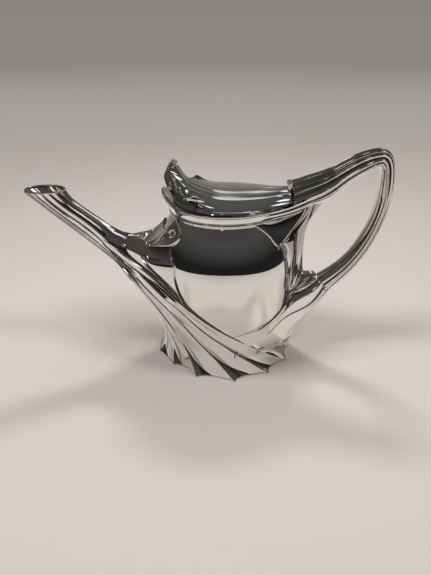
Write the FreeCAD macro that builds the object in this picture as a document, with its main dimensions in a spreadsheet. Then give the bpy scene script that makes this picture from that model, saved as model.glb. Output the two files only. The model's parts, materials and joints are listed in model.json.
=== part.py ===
import FreeCAD
import Part
import Sketcher
import math
import os
import re
from FreeCAD import Rotation, Vector

# A silver teapot: a turned pot, a fluted spout whose ribs fan out like drapery round a scalloped foot,
# a looped handle with a web on the shoulder, and a hinged lid with a thumb piece.
# Millimetres. The origin is the middle of the foot on the table, +X the handle's side, -X the spout's,
# -Y the near side. Angles round the pot are degrees from the spout, growing towards the near side.

SIZES = {
    # turned pot
    "belly_radius": 58.0,
    "belly_height": 88.0,
    "base_radius": 46.0,
    "base_height": 14.0,
    "neck_radius": 42.5,
    "shoulder_height": 131.0,
    "rim_height": 139.6,
    "pot_wall": 1.2,
    "base_thick": 1.4,
    # way into the spout and its strainer
    "port_radius": 12.0,
    "port_height": 88.0,
    "strainer_margin": 3.0,
    "strainer_thick": 0.8,
    "strainer_hole": 1.5,
    "strainer_pitch": 5.2,
    # scalloped foot and the drapery above it
    "foot_radius": 59.5,
    "foot_scallop": 5.5,
    "foot_wall": 3.2,
    "skirt_height": 22.0,
    "fan_height": 69.0,
    "fan_thick": 3.0,
    "fan_flute": 1.7,
    "rib_meet_height": 97.0,
    # spout
    "spout_reach": 146.0,
    "mouth_height": 147.0,
    "spout_half_width": 10.5,
    "spout_wall": 1.6,
    "spout_flute": 0.8,
    "lip_bead": 0.9,
    # leaves on the shoulder
    "horn_foot_rise": 10.0,
    "horn_rise": 36.0,
    "horn_thick": 7.0,
    "lobe_foot_drop": 8.0,
    "lobe_gap": 0.6,
    "lobe_thick": 2.4,
    # handle
    "handle_reach": 75.5,
    "handle_rise": 108.0,
    "joint_height": 66.5,
    "grip_half_thick": 6.0,
    "grip_half_width": 8.5,
    "handle_wall": 1.8,
    "handle_flute": 0.9,
    "web_reach": 66.6,
    "web_edge": 2.2,
    "joint_pin_radius": 0.8,
    "joint_pin_pitch": 5.5,
    # collar round the neck
    "collar_width": 3.2,
    "collar_groove": 1.2,
    "beak_reach": 5.6,
    "beak_rise": 9.4,
    # lid
    "lid_half_width": 42.6,
    "lid_wall": 1.6,
    "lid_flute": 0.5,
    "lid_front": 39.0,
    "lid_crown": 6.0,
    "lid_edge": 2.8,
    "bezel_depth": 4.0,
    "bezel_wall": 1.0,
    "bezel_clearance": 1.0,
    "thumb_height": 171.0,
    "thumb_lean": 7.0,
    "thumb_half_thick": 5.6,
    "thumb_half_width": 12.0,
    # hinge
    "hinge_reach": 53.0,
    "hinge_height": 151.6,
    "hinge_seam": 0.9,
    "knuckle_radius": 2.7,
    "lid_knuckle_width": 6.0,
    "pot_knuckle_width": 3.4,
    "knuckle_gap": 0.3,
    "pin_radius": 1.1,
    "pin_clearance": 0.15,
    # how close pieces lie where they meet
    "lid_gap": 0.4,
    "seat_gap": 0.1,
}

# Cusps of the foot on one side, round from the spout in degrees.
FOOT_CUSPS = (10.0, 37.0, 66.0, 98.0, 130.0, 157.0)

# Flutes round the spout, round the handle and across the lid.
SPOUT_FLUTES = 16
HANDLE_FLUTES = 10
LID_FLUTES = 8

doc = FreeCAD.newDocument("teapot")
sheet = doc.addObject("Spreadsheet::Sheet", "Sizes")
for row, (name, value) in enumerate(SIZES.items(), start=1):
    sheet.set("A%d" % row, name)
    sheet.set("B%d" % row, str(value))
    sheet.setAlias("B%d" % row, name)
doc.recompute()


def size(expression):
    """The number that an expression over the sheet's names comes to."""
    return float(sheet.evalExpression(expression))


def bound(expression):
    """The same expression as an object of the document reads it."""
    return re.sub(r"[a-z_]+", lambda word: "Sizes." + word.group(), expression)


ORIGIN = Vector(0, 0, 0)
UP = Vector(0, 0, 1)
ACROSS = Vector(0, 1, 0)
TO_HANDLE = Vector(1, 0, 0)


# Turned pieces

def lathe_body(label, corners, arcs=()):
    """A closed half section of (radius, height) expressions spun round the upright axis.

    arcs names the edges that are arcs centred level with the belly; the other edges are straight.
    """
    body = doc.addObject("PartDesign::Body", label)
    section = new_sketch(body, label + "_section", "XZ_Plane")
    points = [Vector(size(r), size(z), 0) for r, z in corners]
    ends = []
    for index, start in enumerate(points):
        end = points[(index + 1) % len(points)]
        section.addGeometry(belly_arc(start, end) if index in arcs else Part.LineSegment(start, end))
        ends.append((2, 1) if index in arcs and end.y < start.y else (1, 2))
    for index, (r, z) in enumerate(corners):
        before = (index - 1) % len(corners)
        section.addConstraint(
            Sketcher.Constraint("Coincident", before, ends[before][1], index, ends[index][0]))
        fix_point(section, index, ends[index][0], r, z)
    for index in arcs:
        fix_distance(section, "DistanceY", index, 3, "belly_height")
    turned = body.newObject("PartDesign::Revolution", label + "_turned")
    turned.Profile = section
    turned.ReferenceAxis = (section, ["V_Axis"])
    turned.Angle = 360.0
    body.Tip = turned
    doc.recompute()
    return body


def new_sketch(body, label, role):
    """A sketch on one of the body's own origin planes."""
    sketch = body.newObject("Sketcher::SketchObject", label)
    plane = [feature for feature in body.Origin.OriginFeatures if feature.Role == role][0]
    sketch.AttachmentSupport = [(plane, "")]
    sketch.MapMode = "FlatFace"
    return sketch


def belly_arc(start, end):
    """An arc between two points of a half section whose centre lies level with the belly."""
    level = size("belly_height")
    lift = (end.y - level) ** 2 - (start.y - level) ** 2
    middle = Vector((end.x ** 2 - start.x ** 2 + lift) / (2 * (end.x - start.x)), level, 0)
    turns = [math.atan2(point.y - middle.y, point.x - middle.x) for point in (start, end)]
    circle = Part.Circle(middle, UP, middle.distanceToPoint(start))
    return Part.ArcOfCircle(circle, min(turns), max(turns))


def fix_point(sketch, edge, vertex, r, z):
    """Hold one point of a sketch at a distance from each axis."""
    for kind, axis, expression in (("DistanceX", -2, r), ("DistanceY", -1, z)):
        if size(expression) == 0:
            sketch.addConstraint(Sketcher.Constraint("PointOnObject", edge, vertex, axis))
        else:
            fix_distance(sketch, kind, edge, vertex, expression)


def fix_distance(sketch, kind, edge, vertex, expression):
    constraint = sketch.addConstraint(
        Sketcher.Constraint(kind, -1, 1, edge, vertex, size(expression)))
    sketch.setExpression("Constraints[%d]" % constraint, bound(expression))


def add_spout_port(body):
    """A round way through the pot's wall on the spout's side."""
    sketch = new_sketch(body, "spout_port", "YZ_Plane")
    middle = Vector(0, size("port_height"), 0)
    circle = sketch.addGeometry(Part.Circle(middle, UP, size("port_radius")))
    fix_point(sketch, circle, 3, "0", "port_height")
    radius = sketch.addConstraint(Sketcher.Constraint("Radius", circle, size("port_radius")))
    sketch.setExpression("Constraints[%d]" % radius, bound("port_radius"))
    before = body.Shape.Volume
    port = body.newObject("PartDesign::Pocket", "spout_port_cut")
    port.Profile = sketch
    port.setExpression("Length", bound("belly_radius * 2"))
    body.Tip = port
    doc.recompute()
    if body.Shape.Volume >= before:
        raise ValueError("the spout's port cuts nothing")


def pot_outline(inset):
    """Corners up the pot's side, set in from its outer face by an expression."""
    return [
        ("base_radius - (%s)" % inset, "base_height"),
        ("belly_radius - (%s)" % inset, "belly_height"),
        ("neck_radius - (%s)" % inset, "shoulder_height"),
    ]


def make_vessel_body():
    rim = [("neck_radius", "rim_height"), ("neck_radius - pot_wall", "rim_height")]
    inner = list(reversed(pot_outline("pot_wall")))
    body = lathe_body("vessel_body", pot_outline("0") + rim + inner, arcs=(0, 1, 5, 6))
    add_spout_port(body)


def make_vessel_base():
    edge = "base_radius - pot_wall"
    top = "base_height + base_thick"
    lathe_body("vessel_base", [("0", "base_height"), (edge, "base_height"), (edge, top), ("0", top)])


def make_strainer():
    """A pierced plate that lies on the pot's inner wall over the spout's port."""
    outer = pot_outline("pot_wall")
    inner = list(reversed(pot_outline("pot_wall + strainer_thick")))
    lining = lathe_body("strainer_lining", outer + inner, arcs=(0, 1, 3, 4))
    disc = spout_cylinder("strainer_disc", "port_radius + strainer_margin", 0.0, 0.0)
    plate = doc.addObject("Part::Common", "strainer_plate")
    plate.Base = lining
    plate.Tool = disc
    holes = doc.addObject("Part::Compound", "strainer_holes")
    holes.Links = [spout_cylinder("strainer_hole", "strainer_hole", y, z) for y, z in hole_places()]
    strainer = doc.addObject("Part::Cut", "strainer")
    strainer.Base = plate
    strainer.Tool = holes


def spout_cylinder(label, radius, y_steps, z_steps):
    """A cylinder from the pot's axis to the spout's side, off the port's middle by steps of the pitch."""
    cylinder = doc.addObject("Part::Cylinder", label)
    cylinder.setExpression("Radius", bound(radius))
    cylinder.setExpression("Height", bound("belly_radius"))
    cylinder.Placement = FreeCAD.Placement(ORIGIN, Rotation(ACROSS, -90))
    cylinder.setExpression("Placement.Base.y", bound("strainer_pitch") + " * %f" % y_steps)
    cylinder.setExpression(
        "Placement.Base.z", bound("port_height") + " + " + bound("strainer_pitch") + " * %f" % z_steps)
    return cylinder


def hole_places():
    """Steps across and up to a middle hole, six round it and twelve round those."""
    places = []
    for row in range(-2, 3):
        count = 5 - abs(row)
        for column in range(count):
            places.append((column - (count - 1) / 2, row * math.sqrt(3) / 2))
    return places


# Lofts through many-sided rings, straight from corner to corner and smooth along the piece

def loft(rings, closed=False):
    """A solid whose corners run smoothly through the rings; a closed one runs on into its first ring."""
    count = len(rings[0])
    path = rings + rings[:1] if closed else rings
    along = [0.0]
    for ring, following in zip(path, path[1:]):
        step = sum(a.distanceToPoint(b) for a, b in zip(ring, following)) / count
        along.append(along[-1] + step)
    lines = [corner_line([ring[k] for ring in rings], along, closed) for k in range(count)]
    faces = [strip_between(lines[k], lines[(k + 1) % count], closed) for k in range(count)]
    if not closed:
        faces += [Part.Face(Part.makePolygon(ring + ring[:1])) for ring in (rings[0], rings[-1])]
    shell = Part.makeShell(faces)
    shell.sewShape()
    solid = Part.makeSolid(shell)
    if solid.Volume < 0:
        solid.reverse()
    return solid


def corner_line(points, along, closed):
    line = Part.BSplineCurve()
    line.interpolate(Points=points, Parameters=along, PeriodicFlag=closed)
    return line


def strip_between(left, right, closed):
    """The face that a straight line sweeps between two lines of the same rhythm."""
    poles = [[left.getPole(k), right.getPole(k)] for k in range(1, left.NbPoles + 1)]
    strip = Part.BSplineSurface()
    strip.buildFromPolesMultsKnots(
        poles, left.getMultiplicities(), [2, 2], left.getKnots(), [0.0, 1.0], closed, False, left.Degree, 1)
    return strip.toShape()


def round_pot(angle, radius, height):
    """A point round the pot, by its angle from the spout."""
    turn = math.radians(angle)
    return Vector(-radius * math.cos(turn), -radius * math.sin(turn), height)


def pot_radius(height):
    """The radius of the pot's outer face; below the base its curve runs on."""
    drop = height - size("belly_height")
    if height > size("shoulder_height"):
        return size("neck_radius")
    end = ("base_radius", "base_height") if drop < 0 else ("neck_radius", "shoulder_height")
    across = size("belly_radius - " + end[0])
    arc = (size("(belly_height - %s)^2" % end[1]) + across ** 2) / (2 * across)
    return size("belly_radius") - arc + math.sqrt(arc ** 2 - drop ** 2)


def make_pot_form():
    """The pot's outer form as one block, to seat the sculpted pieces against."""
    base, belly, neck = [Vector(size(r), 0, size(z)) for r, z in pot_outline("0")]
    rim = Vector(neck.x, 0, size("rim_height"))

    def side(start, end):
        height = (start.z + end.z) / 2
        return Part.Arc(start, Vector(pot_radius(height), 0, height), end).toShape()

    top = Vector(0, 0, rim.z)
    bottom = Vector(0, 0, base.z)
    straight = [Part.makeLine(a, b) for a, b in ((neck, rim), (rim, top), (top, bottom), (bottom, base))]
    outline = Part.Wire([side(base, belly), side(belly, neck)] + straight)
    return Part.Face(outline).revolve(ORIGIN, UP, 360)


def add_piece(label, shape):
    piece = doc.addObject("Part::Feature", label)
    piece.Shape = shape
    return piece


# Foot and drapery

def rib_angle(cusp, height):
    """Where a rib that starts at a cusp of the foot stands at a height: it sweeps towards the spout."""
    return cusp * (1 - height / size("rib_meet_height"))


def outline_reach(form, height):
    """A form's outline at a height, as a function of the angle round the pot that gives its reach."""
    wire = max(form.slice(UP, height), key=lambda outline: outline.BoundBox.DiagonalLength)
    places = [(math.degrees(math.atan2(-p.y, -p.x)), math.hypot(p.x, p.y))
              for p in wire.discretize(Distance=OUTLINE_STEP)]

    def reach(angle):
        near = [r for a, r in places if abs((a - angle + 180) % 360 - 180) < OUTLINE_WINDOW]
        return max(near, default=0.0)

    return reach


class Drapery:
    """The outer face of the skirt and of the fan above it.

    Where the spout stands on the fan, and the handle's root on the skirt, it runs out to their outlines.
    """

    def __init__(self, spout_form, root_form):
        self.keels = []
        for form, top, power in ((spout_form, size("fan_height"), SPOUT_KEEL_POWER),
                                 (root_form, size("skirt_height"), ROOT_KEEL_POWER)):
            self.keels.append((outline_reach(form, top), top, power))

    def radius(self, angle, height):
        """The radius along the ribs, before the flutes between them are hollowed."""
        face = pot_radius(height) + size("fan_thick")
        if height < size("skirt_height"):
            spread = 1 - height / size("skirt_height")
            face += (size("foot_radius") - pot_radius(0) - size("fan_thick")) * spread ** FOOT_FLARE_POWER
        for reach, top, power in self.keels:
            if height <= top:
                past = reach(angle) - pot_radius(top) - size("fan_thick")
                face += max(0.0, past) * (height / top) ** power
        return face

    def scallop(self, start, end, height, depth, inset):
        """Points from one rib up to the next, hollowed between them."""
        points = []
        for step in range(FLUTE_STEPS):
            share = step / FLUTE_STEPS
            angle = start + (end - start) * share
            hollow = depth * 4 * share * (1 - share)
            points.append(round_pot(angle, self.radius(angle, height) - hollow - inset, height))
        return points

    def front(self, height, inset=0.0):
        """Points from the last far rib round the spout to the last near one, set in from the face."""
        ribs = ribs_at(height)
        points = []
        for start, end in zip(ribs, ribs[1:]):
            points += self.scallop(start, end, height, flute_depth(start, end, height), inset)
        return points + [round_pot(ribs[-1], self.radius(ribs[-1], height) - inset, height)]

    def back(self, height, inset=0.0):
        """Points across the handle's side, between the last near rib and the last far one."""
        first = rib_angle(FOOT_CUSPS[-1], height)
        depth = size("foot_scallop") * BACK_HOLLOW * (1 - height / size("skirt_height"))
        points = []
        for step in range(1, BACK_STEPS):
            share = step / BACK_STEPS
            angle = first + (360 - 2 * first) * share
            hollow = depth * math.sin(2 * math.pi * share) ** 2
            points.append(round_pot(angle, self.radius(angle, height) - hollow - inset, height))
        return points


OUTLINE_STEP = 0.4
OUTLINE_WINDOW = 1.0
SPOUT_KEEL_POWER = 2.2
ROOT_KEEL_POWER = 1.2
FOOT_FLARE_POWER = 1.8
FLUTE_STEPS = 4
BACK_STEPS = 12
BACK_HOLLOW = 0.7
FULL_FLUTE_ANGLE = 24.0


def ribs_at(height):
    """The ribs' angles from the far side round the spout to the near side."""
    near = [rib_angle(cusp, height) for cusp in FOOT_CUSPS]
    return [-angle for angle in reversed(near)] + near


def flute_depth(start, end, height):
    """Flutes are deepest at the foot, and shallower where their ribs stand close."""
    share = min(1.0, height / size("skirt_height"))
    deep = size("foot_scallop") * (1 - share) + size("fan_flute") * share
    return deep * min(1.0, (end - start) / FULL_FLUTE_ANGLE)


SKIRT_SHARES = (0, 0.15, 0.4, 0.7, 1)
FAN_SHARES = (0, 0.25, 0.5, 0.75, 1)
KEEL_START = 2
KEEL_ANGLES = (-18, -12, -6, 0, 6, 12, 18)


def make_foot_skirt(drapery, pot_form):
    """The scalloped skirt that the pot stands on, an even wall that is open underneath."""

    def form(inset):
        heights = [share * size("skirt_height") for share in SKIRT_SHARES]
        return loft([drapery.front(height, inset) + drapery.back(height, inset) for height in heights])

    return form(0.0).cut(pot_form).cut(form(size("foot_wall")))


def make_spout_fan(drapery, pot_form):
    """The drapery from the foot up to the spout's root: it lies on the pot, with a hollow keel."""
    low = size("skirt_height")
    high = size("fan_height")
    heights = [low + (high - low) * share for share in FAN_SHARES]
    fan = loft([drapery.front(height) + [Vector(0, 0, height)] for height in heights])
    inset = size("fan_thick + fan_flute")
    keel = []
    for height in heights[KEEL_START:]:
        ring = [round_pot(angle, drapery.radius(angle, height) - inset, height) for angle in KEEL_ANGLES]
        keel.append(ring + [Vector(0, 0, height)])
    return fan.cut(pot_form).cut(loft(keel))


# Tubes along a path: spout, handle and thumb piece

def fluted_ring(centre, forward, half_thick, half_width, flutes, depth):
    """Crests and valleys round a centre, square to the way forward."""
    lift = forward.cross(ACROSS)
    points = []
    for step in range(2 * flutes):
        turn = math.pi * step / flutes
        spoke = lift * (half_thick * math.cos(turn)) + ACROSS * (half_width * math.sin(turn))
        hollow = depth if step % 2 == 0 else 0.0
        points.append(centre + spoke * (1 - hollow / spoke.Length))
    return points


def path_of(centres):
    """The centres with the way forward at each, along a smooth line through them."""
    along = [0.0]
    for a, b in zip(centres, centres[1:]):
        along.append(along[-1] + a.distanceToPoint(b))
    line = corner_line(centres, along, False)
    return [(centre, Vector(*line.tangent(place)[0])) for centre, place in zip(centres, along)]


def tube(stations, flutes, depth, inset=0.0, first_plane=None):
    """A loft along (centre, half thickness, half width) stations, cut flat at the start where told."""
    rings = []
    for (centre, forward), (_, thick, width) in zip(path_of([s[0] for s in stations]), stations):
        rings.append(fluted_ring(centre, forward, thick - inset, width - inset, flutes, depth))
    if first_plane:
        point, normal = first_plane
        forward = path_of([s[0] for s in stations])[0][1]
        rings[0] = [p + forward * ((point - p).dot(normal) / forward.dot(normal)) for p in rings[0]]
    return loft(rings)


# Shares of the reach and of the rise from port to mouth, then half sizes against the spout's half width.
SPOUT_STATIONS = (
    (1.000, 1.000, 1.14, 1.17),
    (0.877, 0.700, 0.95, 1.00),
    (0.730, 0.402, 1.02, 1.05),
    (0.588, 0.164, 1.37, 1.33),
    (0.452, 0.000, 2.40, 2.48),
    (0.342, -0.136, 3.40, 3.80),
    (0.233, -0.237, 4.00, 4.40),
)


def spout_stations():
    rise = size("mouth_height - port_height")
    half = size("spout_half_width")
    stations = []
    for reach, lift, thick, width in SPOUT_STATIONS:
        centre = Vector(-reach * size("spout_reach"), 0, size("port_height") + lift * rise)
        stations.append((centre, thick * half, width * half))
    return stations


def make_spout_form():
    mouth = (Vector(0, 0, size("mouth_height")), UP)
    return tube(spout_stations(), SPOUT_FLUTES, size("spout_flute"), first_plane=mouth)


def make_spout_tube(spout_form, pot_form):
    """The fluted spout, a horn that widens into the pot's side and stands on the drapery."""
    reach = size("spout_reach") * 2
    below = Part.makeBox(2 * reach, 2 * reach, size("fan_height"), Vector(-reach, -reach, 0))
    mouth = (Vector(0, 0, size("mouth_height")), UP)
    inset = size("spout_wall + spout_flute")
    bore = tube(spout_stations(), SPOUT_FLUTES // 2, 0.0, inset, mouth)
    return spout_form.cut(pot_form).cut(below).cut(bore)


def make_spout_lip():
    """A bead round the mouth."""
    (centre, thick, width), (second, _, _) = spout_stations()[:2]
    forward = second - centre
    bead = size("lip_bead")
    long_half = thick * forward.Length / abs(forward.z) - bead
    height = size("mouth_height + lip_bead")
    rings = []
    for step in range(LIP_STATIONS):
        turn = 2 * math.pi * step / LIP_STATIONS
        rail = Vector(centre.x + long_half * math.cos(turn), (width - bead) * math.sin(turn), height)
        outward = Vector((width - bead) * math.cos(turn), long_half * math.sin(turn), 0).normalize()
        rings.append([rail + (outward * math.cos(side) + UP * math.sin(side)) * bead for side in LIP_SIDES])
    return loft(rings, closed=True)


LIP_STATIONS = 24
LIP_SIDES = [math.radians(45 * side) for side in range(8)]


# Leaves of the spout that lie up the shoulder

def leaf(pot_form, spout_form, middle, half_angle, low, high, thick):
    """A pointed leaf on the shoulder, ridged along its middle."""
    rings = []
    for share in LEAF_SHARES:
        height = low + (high - low) * share
        spread = half_angle * (1 - LEAF_NARROWING * share ** LEAF_POINT_POWER)
        ridge = thick * (1 - LEAF_THINNING * share) + LEAF_TUCK
        skin = pot_radius(height) - LEAF_TUCK
        ring = [round_pot(middle + spread * k, skin + ridge * (1 - abs(k)) ** LEAF_RIDGE_POWER, height)
                for k in LEAF_PLACES]
        rings.append(ring + [Vector(0, 0, height)])
    return loft(rings).cut(pot_form).cut(spout_form)


LEAF_SHARES = (0, 0.35, 0.7, 1)
LEAF_PLACES = (-1, -0.5, 0, 0.5, 1)
LEAF_NARROWING = 0.94
LEAF_POINT_POWER = 1.4
LEAF_THINNING = 0.85
LEAF_RIDGE_POWER = 1.2
LEAF_TUCK = 0.5
HORN_HALF_ANGLE = 16.0
LOBE_MIDDLE = 33.0
LOBE_HALF_ANGLE = 14.0


# Handle

# Shares of the reach from the hinge and of the rise from the joint, then half sizes against the grip's.
HANDLE_STATIONS = (
    (0.000, 0.720, 1.53, 2.50),
    (0.172, 0.742, 1.95, 2.00),
    (0.360, 0.797, 2.05, 1.60),
    (0.500, 0.862, 1.70, 1.40),
    (0.800, 0.982, 1.42, 1.20),
    (0.935, 0.986, 1.22, 1.10),
    (0.995, 0.880, 1.05, 1.05),
    (0.970, 0.570, 0.98, 0.96),
    (0.868, 0.365, 1.03, 0.94),
    (0.640, 0.120, 1.25, 0.95),
    (0.430, -0.015, 1.62, 1.04),
)
ROOT_STATIONS = (
    (0.430, -0.015, 1.62, 1.04),
    (0.252, -0.089, 2.60, 1.50),
    (0.056, -0.171, 3.85, 2.80),
    (-0.100, -0.300, 3.70, 3.70),
    (-0.220, -0.470, 4.00, 4.00),
)


def handle_stations(shares):
    start = size("hinge_reach + hinge_seam")
    stations = []
    for reach, rise, thick, width in shares:
        height = size("joint_height") + rise * size("handle_rise")
        centre = Vector(start + reach * size("handle_reach"), 0, height)
        stations.append((centre, thick * size("grip_half_thick"), width * size("grip_half_width")))
    return stations


def handle_tube(shares, flutes, depth, inset=0.0):
    """A run of the handle between two flat ends that the next run, or the lid, lies against."""
    stations = handle_stations(HANDLE_STATIONS)
    hinge_plane = (stations[0][0], TO_HANDLE)
    if shares is HANDLE_STATIONS:
        return tube(stations, flutes, depth, inset, hinge_plane)
    joint = path_of([station[0] for station in stations])[-1]
    return tube(handle_stations(shares), flutes, depth, inset, joint)


def make_handle_loop(handle_form):
    """The arm from the hinge, the bend and the grip down to the joint: one bent tube."""
    inset = size("handle_wall + handle_flute")
    return handle_form.cut(handle_tube(HANDLE_STATIONS, HANDLE_FLUTES, 0.0, inset))


def make_handle_root(root_form, pot_form):
    """The handle's flare from the joint on to the pot's side, down to the skirt."""
    reach = size("handle_reach") * 3
    below = Part.makeBox(2 * reach, 2 * reach, size("skirt_height"), Vector(-reach, -reach, 0))
    bore = handle_tube(ROOT_STATIONS, HANDLE_FLUTES, 0.0, size("handle_wall + handle_flute"))
    return root_form.cut(pot_form).cut(below).cut(bore)


# The web between arm and root: share of its height, half angle on the pot, and how far its edge stands out.
WEB_STATIONS = (
    (0.00, 14.0, 6.0),
    (0.20, 14.5, 1.5),
    (0.42, 19.0, 0.0),
    (0.62, 34.0, 0.4),
    (0.76, 47.0, 3.6),
    (0.88, 54.0, 9.0),
    (1.00, 58.0, 16.5),
)
WEB_HOLLOW = 0.14


def make_handle_web(pot_form, others):
    """The web that closes the handle's loop along the pot, hollowed on both flanks."""
    low = size("joint_height")
    high = size("rim_height")
    edge = size("web_edge")
    rings = []
    for share, half_angle, out in WEB_STATIONS:
        height = low + (high - low) * share
        crest = size("web_reach") + out
        foot = round_pot(180 - half_angle, pot_radius(height) - LEAF_TUCK, height)
        ridge = Vector(crest, -edge, height)
        across = ridge - foot
        flank = (foot + ridge) * 0.5 - across.cross(UP).normalize() * (WEB_HOLLOW * across.Length)
        near = [foot, flank, ridge]
        far = [Vector(p.x, -p.y, p.z) for p in reversed(near)]
        rings.append(near + far + [Vector(0, 0, height)])
    web = loft(rings).cut(pot_form)
    for other in others:
        web = web.cut(other)
    return web


def make_handle_pins():
    """Three small pins on each side along the joint."""
    centre, forward = path_of([station[0] for station in handle_stations(HANDLE_STATIONS)])[-1]
    lift = forward.cross(ACROSS)
    half_width = size("grip_half_width") * HANDLE_STATIONS[-1][3]
    pins = []
    for step in (-1, 0, 1):
        place = centre + forward * size("joint_pin_radius * 2") + lift * (step * size("joint_pin_pitch"))
        start = place - ACROSS * half_width
        pins.append(Part.makeCylinder(size("joint_pin_radius"), 2 * half_width, start, ACROSS))
    return Part.makeCompound(pins)


# Collar

COLLAR_STATIONS = 24
BEAK_POWER = 10
SADDLE_POWER = 4
BEAK_SHARE = 0.8


def collar_ring(angle):
    """The collar's section at an angle: two beads with a groove between, under a flat seat."""
    turn = math.radians(angle)
    to_spout = max(0.0, math.cos(turn)) ** BEAK_POWER
    to_handle = max(0.0, -math.cos(turn)) ** SADDLE_POWER
    inner = size("neck_radius + seat_gap / 2")
    low = size("shoulder_height + seat_gap")
    tall = size("rim_height") - low
    side = size("neck_radius + collar_width")
    outer = side + (size("hinge_reach + hinge_seam - seat_gap") - side) * to_handle
    lip = outer + size("beak_reach") * to_spout
    rise = size("beak_rise") * to_spout
    groove = size("collar_groove")
    corners = (
        (inner, 0),
        (outer - groove, 0),
        (outer, tall / 4),
        (outer - groove, tall / 2),
        (lip, tall * 3 / 4 + rise * BEAK_SHARE),
        (lip - groove, tall + rise),
        (inner, tall),
    )
    return [round_pot(angle, radius, low + height) for radius, height in corners]


def make_collar():
    angles = [360.0 * step / COLLAR_STATIONS for step in range(COLLAR_STATIONS)]
    return loft([collar_ring(angle) for angle in angles], closed=True)


# Lid

# Share of the way from the hinge to the front, share of the half width, how many times the lid's edge and
# crown stand above the seat, and how much of the section is hollow.
LID_STATIONS = (
    (0.000, 0.48, 0.95, 1.65, 1.0),
    (0.130, 0.70, 0.95, 1.32, 1.0),
    (0.330, 0.93, 0.96, 1.05, 1.0),
    (0.540, 1.00, 1.15, 1.00, 1.0),
    (0.710, 0.955, 2.30, 1.42, 1.0),
    (0.820, 0.835, 4.00, 2.05, 0.95),
    (0.910, 0.680, 4.30, 2.60, 0.75),
    (1.000, 0.400, 4.60, 3.10, 0.10),
)


def lid_seat():
    return size("rim_height + lid_gap")


def lid_stations():
    back = size("hinge_reach - hinge_seam")
    front = -size("lid_front")
    for share, width, edge, crown, hollow in LID_STATIONS:
        yield (back + (front - back) * share, width * size("lid_half_width"),
               edge * size("lid_edge"), crown * size("lid_crown"), hollow)


def lid_ring(x, half, edge, crown, hollow):
    """The lid's section across: upright edges, a fluted arch over and a plain arch under."""
    seat = lid_seat()

    def arch(share, drop):
        return seat + edge + (crown - edge) * (1 - share ** 2) - drop

    steps = 2 * LID_FLUTES
    over = []
    for step in range(steps + 1):
        share = 2 * step / steps - 1
        over.append(Vector(x, half * share, arch(share, size("lid_flute") if step % 2 else 0.0)))
    inner = (half - size("lid_wall")) * hollow
    under = []
    for share in (1, 2 / 3, 1 / 3, 0, -1 / 3, -2 / 3, -1):
        ceiling = arch(share, size("lid_wall + lid_flute")) - seat
        under.append(Vector(x, inner * share, seat + ceiling * hollow))
    near_feet = [Vector(x, -inner, seat), Vector(x, -half, seat)]
    far_feet = [Vector(x, half, seat), Vector(x, inner, seat)]
    return over + far_feet + under + near_feet


def make_lid_shell():
    return loft([lid_ring(*station) for station in lid_stations()])


# Shares of the thumb piece's lean and of its rise, then of its half sizes.
THUMB_STATIONS = (
    (1.00, 0.42, 1.00, 1.00),
    (0.07, 0.64, 0.96, 0.71),
    (-0.51, 0.83, 0.79, 0.53),
    (-0.63, 1.00, 0.46, 0.32),
)


def make_lid_finial(lid_shell):
    """The thumb piece that rises from the lid's front and curls up to a blunt tip."""
    rise = size("thumb_height") - lid_seat()
    stations = []
    for lean, lift, thick, width in THUMB_STATIONS:
        centre = Vector(size("thumb_lean") * lean - size("lid_front"), 0, lid_seat() + lift * rise)
        stations.append((centre, thick * size("thumb_half_thick"), width * size("thumb_half_width")))
    return tube(stations, HANDLE_FLUTES, size("lid_flute")).cut(lid_shell)


def make_lid_bezel(lid):
    """The ring that drops into the neck, let into the lid's underside."""
    outer = "neck_radius - pot_wall - bezel_clearance"
    inner = outer + " - bezel_wall"
    low = "rim_height - bezel_depth"
    high = "rim_height + lid_gap + lid_edge - lid_wall / 2"
    ring = lathe_body("lid_bezel_ring", [(inner, low), (outer, low), (outer, high), (inner, high)])
    bezel = doc.addObject("Part::Cut", "lid_bezel")
    bezel.Base = ring
    bezel.Tool = lid


# Hinge

HINGE_WIDTH = "(lid_knuckle_width + 2 * knuckle_gap + 2 * pot_knuckle_width)"


def hinge_cylinder(label, radius, low, width):
    """A cylinder on the hinge's axis that starts at low across the pot."""
    cylinder = doc.addObject("Part::Cylinder", label)
    cylinder.setExpression("Radius", bound(radius))
    cylinder.setExpression("Height", bound(width))
    cylinder.Placement = FreeCAD.Placement(ORIGIN, Rotation(TO_HANDLE, -90))
    cylinder.setExpression("Placement.Base.x", bound("hinge_reach"))
    cylinder.setExpression("Placement.Base.y", bound(low))
    cylinder.setExpression("Placement.Base.z", bound("hinge_height"))
    return cylinder


def make_knuckle(label, low, width, bore):
    knuckle = doc.addObject("Part::Cut", label)
    knuckle.Base = hinge_cylinder(label + "_barrel", "knuckle_radius", low, width)
    knuckle.Tool = hinge_cylinder(label + "_bore", bore, low, width)


def make_hinge():
    near_end = "-" + HINGE_WIDTH + " / 2"
    lid_half = "lid_knuckle_width / 2"
    make_knuckle("hinge_knuckle_lid", "-" + lid_half, "lid_knuckle_width", "pin_radius + pin_clearance")
    make_knuckle("hinge_knuckle_near", near_end, "pot_knuckle_width", "pin_radius")
    make_knuckle("hinge_knuckle_far", lid_half + " + knuckle_gap", "pot_knuckle_width", "pin_radius")
    hinge_cylinder("hinge_pin", "pin_radius", near_end, HINGE_WIDTH)


def hinge_block(radius, low, high):
    start = Vector(size("hinge_reach"), low, size("hinge_height"))
    return Part.makeCylinder(radius, high - low, start, ACROSS)


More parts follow.
